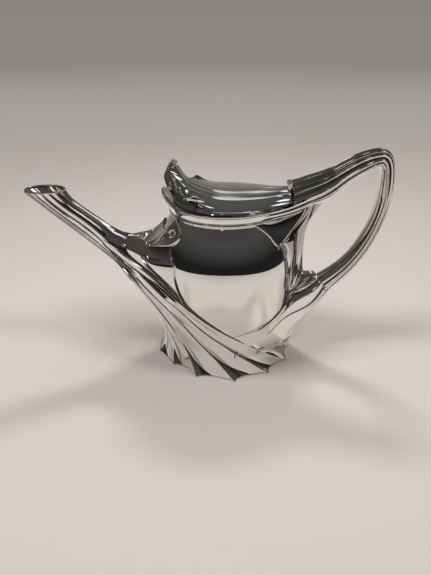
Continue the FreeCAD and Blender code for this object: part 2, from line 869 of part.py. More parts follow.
def cut_hinge_seat(shape, own_knuckles):
    """Room for the hinge: close round the knuckles that a piece carries, free round the others."""
    half = size(HINGE_WIDTH) / 2
    lid_half = size("lid_knuckle_width / 2")
    gap = size("knuckle_gap")
    close = size("knuckle_radius")
    free = close + gap
    spans = [(-half - gap, -lid_half - gap / 2), (-lid_half - gap / 2, lid_half + gap / 2),
             (lid_half + gap / 2, half + gap)]
    for index, (low, high) in enumerate(spans):
        own = (index == 1) == (own_knuckles == "lid")
        shape = shape.cut(hinge_block(close if own else free, low, high))
    return shape


# Assembly

pot_form = make_pot_form()
make_vessel_body()
make_vessel_base()
make_strainer()
spout_form = make_spout_form()
add_piece("spout_tube", make_spout_tube(spout_form, pot_form))
add_piece("spout_lip", make_spout_lip())
root_form = handle_tube(ROOT_STATIONS, HANDLE_FLUTES, size("handle_flute"))
handle_root = make_handle_root(root_form, pot_form)
drapery = Drapery(spout_form, root_form)
add_piece("foot_skirt", make_foot_skirt(drapery, pot_form))
add_piece("spout_fan", make_spout_fan(drapery, pot_form))
collar = make_collar()
add_piece("collar", collar)
horn = leaf(pot_form, spout_form, 0.0, HORN_HALF_ANGLE,
            size("port_height + horn_foot_rise"), size("port_height + horn_rise"), size("horn_thick"))
add_piece("spout_horn", horn.cut(collar))
lobe_foot = size("port_height - lobe_foot_drop")
lobe_top = size("shoulder_height - lobe_gap")
for side, label in ((1, "spout_lobe_near"), (-1, "spout_lobe_far")):
    lobe = leaf(pot_form, spout_form, side * LOBE_MIDDLE, LOBE_HALF_ANGLE,
                lobe_foot, lobe_top, size("lobe_thick"))
    add_piece(label, lobe)
handle_form = handle_tube(HANDLE_STATIONS, HANDLE_FLUTES, size("handle_flute"))
add_piece("handle_loop", cut_hinge_seat(make_handle_loop(handle_form), "pot"))
pins = make_handle_pins()
add_piece("handle_root", handle_root.cut(pins))
add_piece("handle_pins", pins.common(root_form))
add_piece("handle_web", make_handle_web(pot_form, (handle_form, root_form, collar)))
lid_shell = make_lid_shell()
lid = add_piece("lid_shell", cut_hinge_seat(lid_shell, "lid"))
add_piece("lid_finial", make_lid_finial(lid_shell))
make_lid_bezel(lid)
make_hinge()

NODES = (
    "vessel_body", "vessel_base", "strainer", "foot_skirt",
    "spout_fan", "spout_tube", "spout_lip", "spout_horn", "spout_lobe_near", "spout_lobe_far",
    "collar", "handle_loop", "handle_root", "handle_pins", "handle_web",
    "lid_shell", "lid_finial", "lid_bezel",
    "hinge_knuckle_lid", "hinge_knuckle_near", "hinge_knuckle_far", "hinge_pin",
)

doc.recompute()
for item in doc.Objects:
    if "Invalid" in item.State or "Error" in item.State:
        raise ValueError("%s failed to build" % item.Label)
pieces = [doc.getObject(node) for node in NODES]
for piece in pieces:
    if piece.Shape.isNull() or not piece.Shape.isValid() or not piece.Shape.Solids:
        raise ValueError("%s has no sound solid" % piece.Label)
os.makedirs("parts", exist_ok=True)
for piece in pieces:
    piece.Shape.exportStep("parts/%s.step" % piece.Label)
    print(piece.Label, len(piece.Shape.Solids), round(piece.Shape.Volume))
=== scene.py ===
import json
import math

import bpy
import numpy as np
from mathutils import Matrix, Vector


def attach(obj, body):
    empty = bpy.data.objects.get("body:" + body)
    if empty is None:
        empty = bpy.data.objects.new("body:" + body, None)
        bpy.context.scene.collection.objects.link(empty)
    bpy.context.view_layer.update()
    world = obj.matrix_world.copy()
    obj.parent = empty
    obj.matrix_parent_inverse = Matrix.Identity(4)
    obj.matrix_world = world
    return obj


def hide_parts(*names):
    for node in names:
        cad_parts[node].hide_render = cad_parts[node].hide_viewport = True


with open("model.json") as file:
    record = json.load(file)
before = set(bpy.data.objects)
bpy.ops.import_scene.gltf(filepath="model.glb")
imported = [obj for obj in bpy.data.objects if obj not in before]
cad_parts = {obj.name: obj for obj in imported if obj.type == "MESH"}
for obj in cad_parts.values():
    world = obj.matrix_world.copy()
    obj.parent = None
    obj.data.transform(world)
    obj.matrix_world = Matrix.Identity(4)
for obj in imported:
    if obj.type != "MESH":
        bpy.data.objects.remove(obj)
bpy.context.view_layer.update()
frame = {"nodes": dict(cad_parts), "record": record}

# The teapot's forms are in millimetres, in the frame of the solids: the origin is the middle of the foot, +X
# the handle's side, -X the spout's and -Y the near side. Angles round the pot are degrees from the spout.
MM = 0.001

BELLY_RADIUS, BELLY_HEIGHT = 58.0, 88.0
BASE_RADIUS, BASE_HEIGHT = 46.0, 14.0
NECK_RADIUS, SHOULDER_HEIGHT = 42.5, 131.0
RIM_HEIGHT = 139.6
POT_WALL = 1.2
PORT_RADIUS = 12.0
# How far an edge that ends on the pot lies under its face.
SUNK = 0.4
# Distance between the rows of most grids.
ROW_STEP = 1.0

# Shares across a flute, close together at its crests and where a second rib stands in it.
ACROSS = np.array([0, 0.02, 0.045, 0.07, 0.1, 0.14, 0.19, 0.25, 0.33, 0.42, 0.5, 0.55,
                   0.58, 0.6, 0.62, 0.64, 0.67, 0.72, 0.79, 0.85, 0.9, 0.93, 0.955, 0.98])
# Width of the reed on a crest, and place and width of the second rib, as shares of the flute's width.
CREST_WIDTH = 0.05
TWIN_PLACE, TWIN_WIDTH = 0.6, 0.035
# Flutes below this height are cut in level, and those of this depth get the full painted shade at their
# bottom.
LEVEL_HEIGHT = 60.0
DARK_DEPTH = 1.6


# Curves and grids

def cubic(values, along, at):
    """Natural cubic lines through rows of values, read at other places along."""
    n = len(along)
    h = np.diff(along)
    system = np.eye(n)
    right = np.zeros((n, values.shape[1]))
    for i in range(1, n - 1):
        system[i, i - 1:i + 2] = h[i - 1], 2 * (h[i - 1] + h[i]), h[i]
        right[i] = 6 * ((values[i + 1] - values[i]) / h[i] - (values[i] - values[i - 1]) / h[i - 1])
    bend = np.linalg.solve(system, right)
    k = np.clip(np.searchsorted(along, at) - 1, 0, n - 2)
    a = (along[k + 1] - at)[:, None]
    b = (at - along[k])[:, None]
    w = h[k][:, None]
    return (bend[k] * a ** 3 + bend[k + 1] * b ** 3) / (6 * w) \
        + (values[k] / w - bend[k] * w / 6) * a + (values[k + 1] / w - bend[k + 1] * w / 6) * b


def unit(rows):
    """The directions of rows of vectors."""
    return rows / np.linalg.norm(rows, axis=1)[:, None]


def lengths_along(levels):
    """How far along each level lies, by the mean length of the columns."""
    steps = np.linalg.norm(np.diff(np.array(levels, float), axis=0), axis=2).mean(1)
    return np.concatenate([[0], np.cumsum(steps)])


def rows_along(along, step):
    """Places of the rows between levels, and the row that each level falls on."""
    at = [np.array([along[0]])]
    rows = [0]
    for a, b in zip(along, along[1:]):
        n = max(2, int(round((b - a) / step)))
        at.append(a + (b - a) * np.arange(1, n + 1) / n)
        rows.append(rows[-1] + n)
    return np.concatenate(at), rows


def flow(levels, along, at):
    """Columns of points that run smoothly through the levels."""
    levels = np.array(levels, float)
    return cubic(levels.reshape(len(levels), -1), along, at).reshape(len(at), *levels.shape[1:])


def fade(values, along, at):
    """Values of each column, straight from level to level."""
    values = np.array(values, float)
    return np.stack([np.interp(at, along, column) for column in values.T], axis=1)


def refine(levels, dark=0.0, step=ROW_STEP):
    """A fine grid through the levels, how dark it is, and the row that each level falls on."""
    along = lengths_along(levels)
    at, rows = rows_along(along, step)
    dark = np.broadcast_to(dark, np.shape(levels)[:2])
    return flow(levels, along, at), fade(dark, along, at), rows


def polar(point):
    """Angle from the spout in degrees, radius and height."""
    point = np.asarray(point, float)
    angle = np.degrees(np.arctan2(-point[..., 1], -point[..., 0]))
    return np.stack([angle, np.hypot(point[..., 0], point[..., 1]), point[..., 2]], -1)


def sag(lean, crest=0.0, twin=0.0):
    """Depth across a flute. A lean under 1 puts its bottom by the first crest, a negative one by the last."""
    u = ACROSS if lean > 0 else 1 - ACROSS
    w = u ** abs(lean)
    reeds = crest * (np.exp(-(u / CREST_WIDTH) ** 2) + np.exp(-((1 - u) / CREST_WIDTH) ** 2))
    return 4 * w * (1 - w) - reeds - twin * np.exp(-((ACROSS - TWIN_PLACE) / TWIN_WIDTH) ** 2)


def flute_shade(lean):
    """Painted shade: a narrow darker line beside the deepest part of a flute."""
    u = ACROSS if lean > 0 else 1 - ACROSS
    deepest = 0.5 ** (1 / abs(lean))
    return np.exp(-((u - 0.5 * deepest) / (0.3 * deepest)) ** 2)


def span(a, b, inside, bow):
    """Points from rib to rib and the way in from them. Without a point inside, they go round the pot."""
    u = ACROSS
    middle = 0.5 * (a + b)
    if inside is not None:
        return a + (b - a) * u[:, None], np.array(inside) - middle
    pa, pb = polar(a), polar(b)
    pb[0] += 360 * round((pa[0] - pb[0]) / 360)
    line = pa + (pb - pa) * u[:, None]
    out = pa[1] - pot_radius(pa[2]) + (pb[1] - pot_radius(pb[2]) - pa[1] + pot_radius(pa[2])) * u
    line += np.outer(4 * u * (1 - u), (bow[0], 0.0, bow[1]))
    return around(line[:, 0], pot_radius(line[:, 2]) + out, line[:, 2]), -middle * (1, 1, 0)


def lace(ribs, hollows, inside, bows=None, leans=None, crest=0.0, twin=0.0):
    """Fills the flutes between ribs. Returns the points of each level and the shade painted on them."""
    ribs = np.array(ribs, float)
    count, width = ribs.shape[:2]
    crest, twin = np.broadcast_to(crest, count), np.broadcast_to(twin, count)
    bows = np.zeros((count, width - 1, 2)) if bows is None else bows
    leans = np.ones((count, width - 1)) if leans is None else leans
    rows = []
    darks = []
    for i in range(count):
        before, after = ribs[max(i - 1, 0)], ribs[min(i + 1, count - 1)]
        row = []
        dark = []
        for k in range(width - 1):
            a, b = ribs[i, k], ribs[i, k + 1]
            points, inward = span(a, b, inside[i], bows[i][k])
            normal = np.cross(b - a, after[k] + after[k + 1] - before[k] - before[k + 1])
            if 0.5 * (a + b)[2] < LEVEL_HEIGHT:
                normal[2] = 0.0
            normal /= max(np.linalg.norm(normal), 1e-9)
            if normal @ inward < 0:
                normal = -normal
            row.append(points + np.outer(hollows[i][k] * sag(leans[i][k], crest[i], twin[i]), normal))
            dark.append(flute_shade(leans[i][k]) * np.clip(hollows[i][k] / DARK_DEPTH, 0, 1))
        rows.append(np.concatenate(row + [ribs[i, -1:]]))
        darks.append(np.concatenate(dark + [np.zeros(1)]))
    return np.array(rows), np.array(darks)


def facing(points):
    """Outward directions of a grid, so that pieces cut from one grid shade as one."""
    normal = np.cross(np.gradient(points, axis=1), np.gradient(points, axis=0))
    return normal / np.maximum(np.linalg.norm(normal, axis=2), 1e-9)[..., None]


def both_sides(near, shared=False):
    """Ribs of the near side followed by their mirror images on the far side. A shared last rib comes once."""
    near = np.array(near, float)
    far = near[:, ::-1] * (1, -1, 1)
    return np.concatenate([near, far[:, 1:] if shared else far], axis=1)


def mirrored(row):
    """Values of the near flutes and the middle one, followed by those of the far flutes."""
    return list(row) + list(row[-2::-1])


def through(points, step=0.6):
    """A smooth line through points, in even steps."""
    points = np.array(points, float)
    along = lengths_along(points[:, None])
    return cubic(points, along, np.linspace(0, along[-1], max(4, int(along[-1] / step))))


def quads(rows, columns, start=0, closed_columns=False, closed_rows=False, flip=False):
    """Faces of a grid of rows by columns whose first vertex has the number start."""
    faces = []
    for r in range(rows if closed_rows else rows - 1):
        for c in range(columns if closed_columns else columns - 1):
            d = (c + 1) % columns
            q = (r + 1) % rows
            corners = (r * columns + c, r * columns + d, q * columns + d, q * columns + c)
            face = [start + corner for corner in corners]
            faces.append(face[::-1] if flip else face)
    return faces


class Piece:
    """Grids that become one smooth mesh."""

    def __init__(self):
        self.verts = []
        self.faces = []
        self.painted_shade = []
        self.normals = []

    def grid(self, points, painted_shade=0.0, normals=0.0, **options):
        points = np.array(points, float)
        rows, columns = points.shape[:2]
        self.normals += list(np.broadcast_to(normals, points.shape).reshape(-1, 3))
        self.faces += quads(rows, columns, len(self.verts), **options)
        self.verts += [tuple(p) for p in points.reshape(-1, 3)]
        self.painted_shade += list(np.broadcast_to(painted_shade, (rows, columns)).reshape(-1))
        return self

    def reed(self, path, radius, taper=0.12, sides=8):
        """A round thread along a path, drawn out to a point at both ends."""
        path = np.array(path, float)
        forward = unit(np.gradient(path, axis=0))
        side = np.cross(forward[0], (0.3, 0.5, 0.8))
        share = np.linspace(0, 1, len(path))
        thick = radius * np.clip(np.minimum(share, 1 - share) / taper, 0.02, 1) ** 0.6
        turn = ring_of(sides)
        rings = []
        for place, ahead, size in zip(path, forward, thick):
            side = side - ahead * (side @ ahead)
            side /= np.linalg.norm(side)
            across = np.cross(ahead, side)
            rings.append(place + size * (np.outer(np.cos(turn), side) + np.outer(np.sin(turn), across)))
        first = len(self.verts)
        self.grid(rings, 0.0, closed_columns=True)
        last = len(self.verts)
        self.faces.append(list(range(first, first + sides)))
        self.faces.append(list(range(last - sides, last))[::-1])
        return self

    def build(self, name, body="pot", slot="silver"):
        mesh = bpy.data.meshes.new(name)
        mesh.from_pydata([tuple(c * MM for c in v) for v in self.verts], [], self.faces)
        # painted shade of each point: the materials darken the colour by it in hollows and shaded faces
        mesh.attributes.new("painted_shade", "FLOAT", "POINT").data.foreach_set(
            "value", np.array(self.painted_shade, np.float32))
        mesh.shade_smooth()
        mesh.update()
        if np.any(self.normals):
            mesh.normals_split_custom_set_from_vertices(self.normals)
        piece = put(name, mesh)
        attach(piece, body)
        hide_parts(name)
        mesh.materials.append(MATERIALS[slot])


def put(name, data):
    """An object of the scene."""
    item = bpy.data.objects.new(name, data)
    bpy.context.scene.collection.objects.link(item)
    return item


def ring_of(count):
    return np.linspace(0, 2 * math.pi, count, endpoint=False)


def around(angle, radius, height):
    """A point round the pot, by its angle from the spout in degrees."""
    turn = np.radians(angle)
    return np.stack(np.broadcast_arrays(-radius * np.cos(turn), -radius * np.sin(turn), height), -1)


def levels_of(ribs):
    """Levels across ribs that are given as places round the pot."""
    return [[around(*rib[i]) for rib in ribs] for i in range(len(ribs[0]))]


def pot_radius(height):
    height = np.asarray(height, float)
    low = BELLY_RADIUS - BASE_RADIUS
    high = BELLY_RADIUS - NECK_RADIUS
    arc_low = ((BELLY_HEIGHT - BASE_HEIGHT) ** 2 + low ** 2) / (2 * low)
    arc_high = ((SHOULDER_HEIGHT - BELLY_HEIGHT) ** 2 + high ** 2) / (2 * high)
    arc = np.where(height < BELLY_HEIGHT, arc_low, arc_high)
    drop = np.minimum(height, SHOULDER_HEIGHT) - BELLY_HEIGHT
    return BELLY_RADIUS - arc + np.sqrt(arc ** 2 - drop ** 2)


def hug(points, depth=SUNK):
    """Points that would lie inside the pot are laid just under its outer face."""
    points = np.array(points, float)
    radius = np.hypot(points[..., 0], points[..., 1])
    floor = np.where((points[..., 2] > BASE_HEIGHT) & (points[..., 2] < RIM_HEIGHT),
                     pot_radius(points[..., 2]) - depth, 0.0)
    scale = np.where(radius < floor, floor / np.maximum(radius, 1e-6), 1.0)
    points[..., 0] *= scale
    points[..., 1] *= scale
    return points


def under_face(edge):
    """The points of an edge, pushed in under the pot's outer face."""
    angle, radius, height = polar(edge).T
    return around(angle, np.minimum(radius, pot_radius(height) - SUNK), height)


# Nodes of the materials and the world

def add_node(tree, kind, *values):
    """A new node whose first inputs are numbers or links from other nodes."""
    node = tree.nodes.new("ShaderNode" + kind)
    for socket, value in zip(node.inputs, values):
        if isinstance(value, (int, float)):
            socket.default_value = value
        else:
            tree.links.new(value, socket)
    return node


def maths(tree, operation, *values):
    node = add_node(tree, "Math", *values)
    node.operation = operation
    return node.outputs[0]


def map_range(tree, value, low, high, first=0.0, last=1.0, smooth=False):
    node = add_node(tree, "MapRange", value, low, high, first, last)
    node.interpolation_type = "SMOOTHSTEP" if smooth else "LINEAR"
    return node.outputs["Result"]


def blend_colours(tree, factor, first, second):
    node = add_node(tree, "Mix")
    node.data_type = "RGBA"
    for socket, value in ((node.inputs[0], factor), (node.inputs[6], first), (node.inputs[7], second)):
        if isinstance(value, tuple):
            socket.default_value = value + (1.0,)
        else:
            tree.links.new(value, socket)
    return node.outputs[2]


def stops(tree, factor, *colours):
    """A colour ramp with (place, colour) stops."""
    node = add_node(tree, "ValToRGB", factor)
    elements = node.color_ramp.elements
    elements[0].position, elements[1].position = colours[0][0], colours[-1][0]
    for place, _ in colours[1:-1]:
        elements.new(place)
    for element, (_, colour) in zip(elements, colours):
        element.color = colour + (1.0,)
    return node.outputs["Color"]


def noise(tree, place, scale, detail):
    texture = add_node(tree, "TexNoise", place)
    texture.inputs["Scale"].default_value = scale
    texture.inputs["Detail"].default_value = detail
    return texture.outputs["Fac"]


# Materials

# Scales of the tarnish clouds, the wiping marks (drawn out upwards), the duller patches and the dents.
CLOUD_SCALE, WIPING_SCALE, PATCH_SCALE, DENT_SCALE = 34.0, 260.0, 52.0, 48.0
WIPING_STRETCH = (1.0, 1.0, 0.16)
DENT_STRENGTH, DENT_DEPTH = 0.03, 0.001


def silver(name, bright, dull, rough, shade_colour):
    """Polished silver: faint cloudy tarnish, hairline wiping marks, and painted shade that darkens the
    hollows.
    """
    material = bpy.data.materials.new(name)
    material.use_nodes = True
    tree = material.node_tree
    shader = tree.nodes["Principled BSDF"]
    shader.inputs["Metallic"].default_value = 1.0
    place = add_node(tree, "TexCoord").outputs["Object"]

    cloud = map_range(tree, noise(tree, place, CLOUD_SCALE, 4.0), 0.42, 0.72)
    # painted shade: the colour goes to the shade colour where the mesh's painted shade is high
    painted_shade = add_node(tree, "Attribute")
    painted_shade.attribute_name = "painted_shade"
    hollow = map_range(tree, painted_shade.outputs["Fac"], 0.45, 1.0)
    colour = blend_colours(tree, hollow, blend_colours(tree, cloud, bright, dull), shade_colour)
    tree.links.new(colour, shader.inputs["Base Color"])

    drawn = add_node(tree, "Mapping", place)
    drawn.inputs["Scale"].default_value = WIPING_STRETCH
    marks = noise(tree, drawn.outputs["Vector"], WIPING_SCALE, 3.0)
    wiping = map_range(tree, marks, 0.45, 0.8, 0.0, rough * 0.7)
    patches = map_range(tree, noise(tree, place, PATCH_SCALE, 3.0), 0.35, 0.75, rough * 0.55, rough * 1.25)
    tree.links.new(maths(tree, "ADD", wiping, patches), shader.inputs["Roughness"])

    bump = add_node(tree, "Bump")
    bump.inputs["Strength"].default_value = DENT_STRENGTH
    bump.inputs["Distance"].default_value = DENT_DEPTH
    tree.links.new(noise(tree, place, DENT_SCALE, 2.0), bump.inputs["Height"])
    tree.links.new(bump.outputs["Normal"], shader.inputs["Normal"])
    return material


# Colour where it is bright and dull, colour of the painted shade in the hollows, and roughness.
MATERIALS = {
    "silver": silver("silver", (0.93, 0.92, 0.90), (0.87, 0.85, 0.81), 0.03, (0.36, 0.345, 0.33)),
    "lip_silver": silver("lip_silver", (0.93, 0.90, 0.84), (0.84, 0.79, 0.69), 0.08, (0.6, 0.56, 0.5)),
    "inner_silver": silver("inner_silver", (0.84, 0.82, 0.78), (0.70, 0.67, 0.62), 0.22, (0.5, 0.48, 0.45)),
    "hinge_silver": silver("hinge_silver", (0.88, 0.87, 0.85), (0.74, 0.72, 0.68), 0.10, (0.4, 0.38, 0.36)),
}


# Pot

def make_vessel():
    heights = np.concatenate([np.linspace(BASE_HEIGHT, SHOULDER_HEIGHT, 90),
                              np.linspace(SHOULDER_HEIGHT, RIM_HEIGHT - 0.4, 6)[1:]])
    outer = [(float(pot_radius(z)), z) for z in heights]
    edge = [(NECK_RADIUS - inset, RIM_HEIGHT - drop) for inset, drop in ((0.2, 0.1), (0.6, 0.0), (1.0, 0.1))]
    inner = [(r - POT_WALL, z) for r, z in reversed(outer)]
    turns = np.degrees(ring_of(240))
    points = np.stack([around(turns, r, z) for r, z in outer + edge + inner])
    piece = Piece().grid(points, closed_columns=True, flip=True)

    def in_port(face):
        x, y, z = np.mean([piece.verts[i] for i in face], axis=0)
        return x < 0 and math.hypot(y, z - BELLY_HEIGHT) < PORT_RADIUS

    piece.faces = [face for face in piece.faces if not in_port(face)]
    piece.build("vessel_body")


# Drapery and spout

FOOT_SCALLOP = 5.5
FOOT_WALL = 3.2
SKIRT_HEIGHT = 22.0
FAN_HEIGHT = 69.0
FAN_THICK = 3.0
FAN_FLUTE = 1.25
RIB_MEET_HEIGHT = 103.0
CUSPS = (10, 36, 65, 98.5, 130, 157)
CUSP_RADII = (58.8, 54.4, 55.6, 57.6, 58.5, 60.0)
# The foot's flare: height and power at the front and at the back, which change between two angles.
FLARE_TURN = (102.0, 124.0)
FLARE_HEIGHTS = (34.0, SKIRT_HEIGHT)
FLARE_POWERS = (2.6, 1.8)
# Flutes deepen to scallops below this height, and have full depth where ribs are this many degrees apart.
SCALLOP_HEIGHT = 40.0
FULL_GAP = 18.0
# The back's scallops as a share of the others.
BACK_SCALLOP = 0.75
COVE_HEIGHT = 7.0
HEM_RADIUS = 0.45
# Half width in degrees, reach and power of the swellings under the spout and under the handle.
SPOUT_KEEL = (53.0, 21.7, 2.25)
HANDLE_KEEL = (44.0, 13.2, 1.2)
# Centres of the spout's sections (x, z), half thickness and half width, from the mouth to the pot.
SPOUT = ((-146.0, 147.0, 11.97, 12.29), (-128.04, 129.3, 9.98, 10.5), (-106.58, 111.72, 10.71, 11.03),
         (-85.85, 97.68, 14.39, 13.97), (-65.99, 88.0, 25.2, 26.04))
MOUTH_HEIGHT = 147.0
# Places of the ribs round a section, degrees up from the keel, on the plain spout and where it widens.
RIB_TURNS = (10, 30, 50, 70, 90, 110)
ROOT_TURNS = (7, 21, 36, 52, 70, 88)
TOP_TURNS = (110, 130, 150, 160, 170, 180)
TOP_ROOT_TURNS = (88, 113, 139, 152, 166, 180)
SPOUT_FLUTE = (0.95, 0.85, 0.85, 0.9)
SPOUT_WALL = 2.2
FAN_LEVELS = (0, 2.5, 6, 11, 16, 22, 34, 47, 58, 65, 69)
SEAM_HEIGHT = 65.0
# By height on the fan: how far its top rib draws in, how its flutes lean, and how high the second ribs are.
TOP_RIB_DIP = ((22.0, 34.0, 58.0, 65.0), (0.0, 1.3, 1.3, 0.6))
FAN_LEAN = ((0.0, 16.0, 47.0), (0.85, 0.62, 0.38))
FAN_TWIN = ((0.0, 28.0, 47.0, 69.0), (0.0, 0.0, 0.36, 0.2))
FAN_CREST = 0.13
# Leans and crests where the fan turns into the spout and at its sections, and the form of that turn.
SPOUT_LEAN = (0.4, 0.45, 0.55, 0.55, 0.55)
SPOUT_CREST = (0.06, 0.0, 0.0, 0.0, 0.0)
TURN_FLUTE = 1.0
TURN_CENTRE = (-50.0, 0.0, 88.0)
TURN_RISE = 3.2
# Share of their depth that the two front flutes have at the ground, and how slowly it grows.
FRONT_FLUTES = ((0.1, 34.0), (0.4, 60.0))


def spout_frames():
    centres = np.array([(x, 0.0, z) for x, z, _, _ in SPOUT])
    forward = np.gradient(centres, axis=0)
    forward[0] = centres[1] - centres[0]
    return centres, unit(forward)


def spout_section(index, turns, sunk=0.0):
    """Points of a section at turns up from the keel on the near side."""
    centres, forwards = spout_frames()
    forward = forwards[index]
    lift = np.array([-forward[2], 0.0, forward[0]])
    _, _, thick, width = SPOUT[index]
    turn = np.radians(turns)
    spoke = -np.outer(thick * np.cos(turn), lift) - np.outer(width * np.sin(turn), (0.0, 1.0, 0.0))
    length = np.linalg.norm(spoke, axis=1)
    points = centres[index] + spoke * (1 - sunk / length)[:, None]
    if index == 0:
        points = points + np.outer((MOUTH_HEIGHT - points[:, 2]) / forward[2], forward)
    return points


def keel(angle, height):
    """How far the spout's underside stands out from the fan's even thickness."""
    spread, reach, power = SPOUT_KEEL
    side = np.clip(1 - np.abs(angle) / spread, 0, 1)
    return reach * side * (np.clip(height, 0, FAN_HEIGHT) / FAN_HEIGHT) ** power


def handle_keel(angle, height):
    """How far the handle's root stands out from the skirt."""
    spread, reach, power = HANDLE_KEEL
    off = np.abs((np.asarray(angle) + 360) % 360 - 180)
    side = np.clip(1 - (off / spread) ** 2, 0, 1)
    return reach * side * (np.clip(height, 0, SKIRT_HEIGHT) / SKIRT_HEIGHT) ** power


def drapery_radius(angle, height, foot):
    face = pot_radius(height) + FAN_THICK
    tall = np.interp(np.abs(angle), FLARE_TURN, FLARE_HEIGHTS)
    power = np.interp(np.abs(angle), FLARE_TURN, FLARE_POWERS)
    face = face + (foot - pot_radius(0.0) - FAN_THICK) * np.clip(1 - height / tall, 0, 1) ** power
    return face + keel(angle, height) + np.where(height <= SKIRT_HEIGHT, handle_keel(angle, height), 0.0)


def drapery_depth(height, gap):
    share = max(0.0, 1 - height / SCALLOP_HEIGHT) ** 2
    return (FAN_FLUTE + (FOOT_SCALLOP - FAN_FLUTE) * share) * min(1.0, gap / FULL_GAP)


def front_net():
    """Ribs from the scalloped foot, up round the spout's root and along its underside to the mouth."""
    cusps = np.array(CUSPS)
    ribs = []
    hollows = []
    inside = []
    for z in FAN_LEVELS:
        angle = cusps * (1 - z / RIB_MEET_HEIGHT)
        radius = drapery_radius(angle, z, np.array(CUSP_RADII))
        radius[-1] -= np.interp(z, *TOP_RIB_DIP)
        ribs.append(around(angle, radius, z)[::-1])
        gaps = np.diff(np.concatenate([[-angle[0]], angle]))
        depths = [drapery_depth(z, gap) for gap in gaps]
        for k, (share, height) in enumerate(FRONT_FLUTES):
            depths[k] *= min(1.0, share + z / height)
        hollows.append(depths[::-1])
        inside.append(None)
    root = spout_section(3, ROOT_TURNS)[::-1]
    rise = np.linspace(TURN_RISE, 0.0, len(CUSPS))
    ribs.append(0.5 * (ribs[-1] + root) + np.outer(rise, (-0.3, -0.3, 1.0)))
    hollows.append([TURN_FLUTE] * len(CUSPS))
    inside.append(TURN_CENTRE)
    centres, _ = spout_frames()
    for index, turns in ((3, ROOT_TURNS), (2, RIB_TURNS), (1, RIB_TURNS), (0, RIB_TURNS)):
        ribs.append(spout_section(index, turns)[::-1])
        hollows.append([SPOUT_FLUTE[index]] * len(CUSPS))
        inside.append(centres[index])
    ribs = both_sides(ribs)[:, ::-1]
    flutes = [mirrored(row) for row in hollows]
    lean = [np.interp(z, *FAN_LEAN) for z in FAN_LEVELS] + list(SPOUT_LEAN)
    count = len(CUSPS) - 1
    leans = [[-p] * count + [1.0] + [p] * count for p in lean]
    crest = [FAN_CREST] * len(FAN_LEVELS) + list(SPOUT_CREST)
    twin = [np.interp(z, *FAN_TWIN) for z in FAN_LEVELS] + [0.0] * len(SPOUT_LEAN)
    return lace(ribs, flutes, inside, leans=leans, crest=crest, twin=twin), ribs


class Drapery:
    """The front net as a fine grid, with the rows at which its pieces meet."""

    def __init__(self):
        (levels, valleys), self.ribs = front_net()
        self.along = lengths_along(levels)
        self.at, rows = rows_along(self.along, ROW_STEP)
        self.points = flow(levels, self.along, self.at)
        self.painted_shade = fade(valleys, self.along, self.at)
        self.normals = facing(self.points)
        self.skirt_row = rows[FAN_LEVELS.index(SKIRT_HEIGHT)]
        self.seam_row = rows[FAN_LEVELS.index(SEAM_HEIGHT)]
        self.fan_row = rows[FAN_LEVELS.index(FAN_HEIGHT)]

    def grid(self, part):
        return Piece().grid(self.points[part], self.painted_shade[part], self.normals[part])


def skirt_back(net):
    """The skirt from the last near rib round the handle's side to the last far one, and the shade painted in
    its scallops.
    """
    share = np.concatenate([ACROSS, ACROSS, [0.0]])
    heights = [z for z in FAN_LEVELS if z <= SKIRT_HEIGHT]
    levels = []
    for z in heights:
        sweep = CUSPS[-1] * (1 - z / RIB_MEET_HEIGHT)
        angle = np.concatenate([sweep + (180 - sweep) * ACROSS, 180 + (180 - sweep) * ACROSS, [360 - sweep]])
        hollow = FOOT_SCALLOP * BACK_SCALLOP * (1 - z / SKIRT_HEIGHT) * 4 * share * (1 - share)
        levels.append(around(angle, drapery_radius(angle, z, CUSP_RADII[-1]) - hollow, z))
    end = net.skirt_row + 1
    back = flow(levels, net.along[:len(heights)], net.at[:end])
    back[:, 0] = net.points[:end, -1]
    back[:, -1] = net.points[:end, 0]
    return back, np.broadcast_to(4 * share * (1 - share), back.shape[:2])


def make_skirt(net):
    back, back_valley = skirt_back(net)
    front = np.s_[:net.skirt_row + 1, :-1]
    full = np.concatenate([net.points[front], back[:, :-1]], axis=1)
    painted_shade = np.concatenate([net.painted_shade[front], back_valley[:, :-1]], axis=1)
    normals = np.concatenate([net.normals[front], facing(back)[:, :-1]], axis=1)
    full[0, :, 2] = 0.0
    radius = np.hypot(full[..., 0], full[..., 1])
    on_pot = np.where(full[..., 2] > BASE_HEIGHT, pot_radius(full[..., 2]) - SUNK, 0.0)
    inner = full.copy()
    inner[..., :2] *= (np.maximum(radius - FOOT_WALL, on_pot) / radius)[..., None]
    skirt = Piece().grid(full, painted_shade, normals, closed_columns=True)
    # the inside of the foot gets painted shade
    skirt.grid(inner, 0.6, closed_columns=True, flip=True)
    skirt.grid(np.stack([inner[0], full[0]]), 0.0, closed_columns=True)

    # the top slopes in to the pot
    top = radius[-1]
    cove = []
    for share in np.linspace(0, 1, 6):
        ring = full[-1].copy()
        ring[:, 2] += COVE_HEIGHT * share ** 1.6
        reach = top + (pot_radius(SKIRT_HEIGHT + COVE_HEIGHT) - SUNK - top) * share
        ring[:, :2] *= (reach / top)[:, None]
        cove.append(ring)
    skirt.grid(np.stack(cove), 0.0, closed_columns=True)
    hem = full[0] * (0.995, 0.995, 1) + np.array([0, 0, HEM_RADIUS])
    skirt.reed(np.concatenate([hem, hem[:1]]), HEM_RADIUS, 0.002)
    skirt.build("foot_skirt")


# The bank from the fan's top rib in to the pot: share of the way, and how far in.
BANK = ((0.0, 0.0), (0.15, 0.3), (0.4, 1.0), (0.7, 1.9), (1.0, 3.4))
BANK_TURN, BANK_RISE = 0.8, 0.5


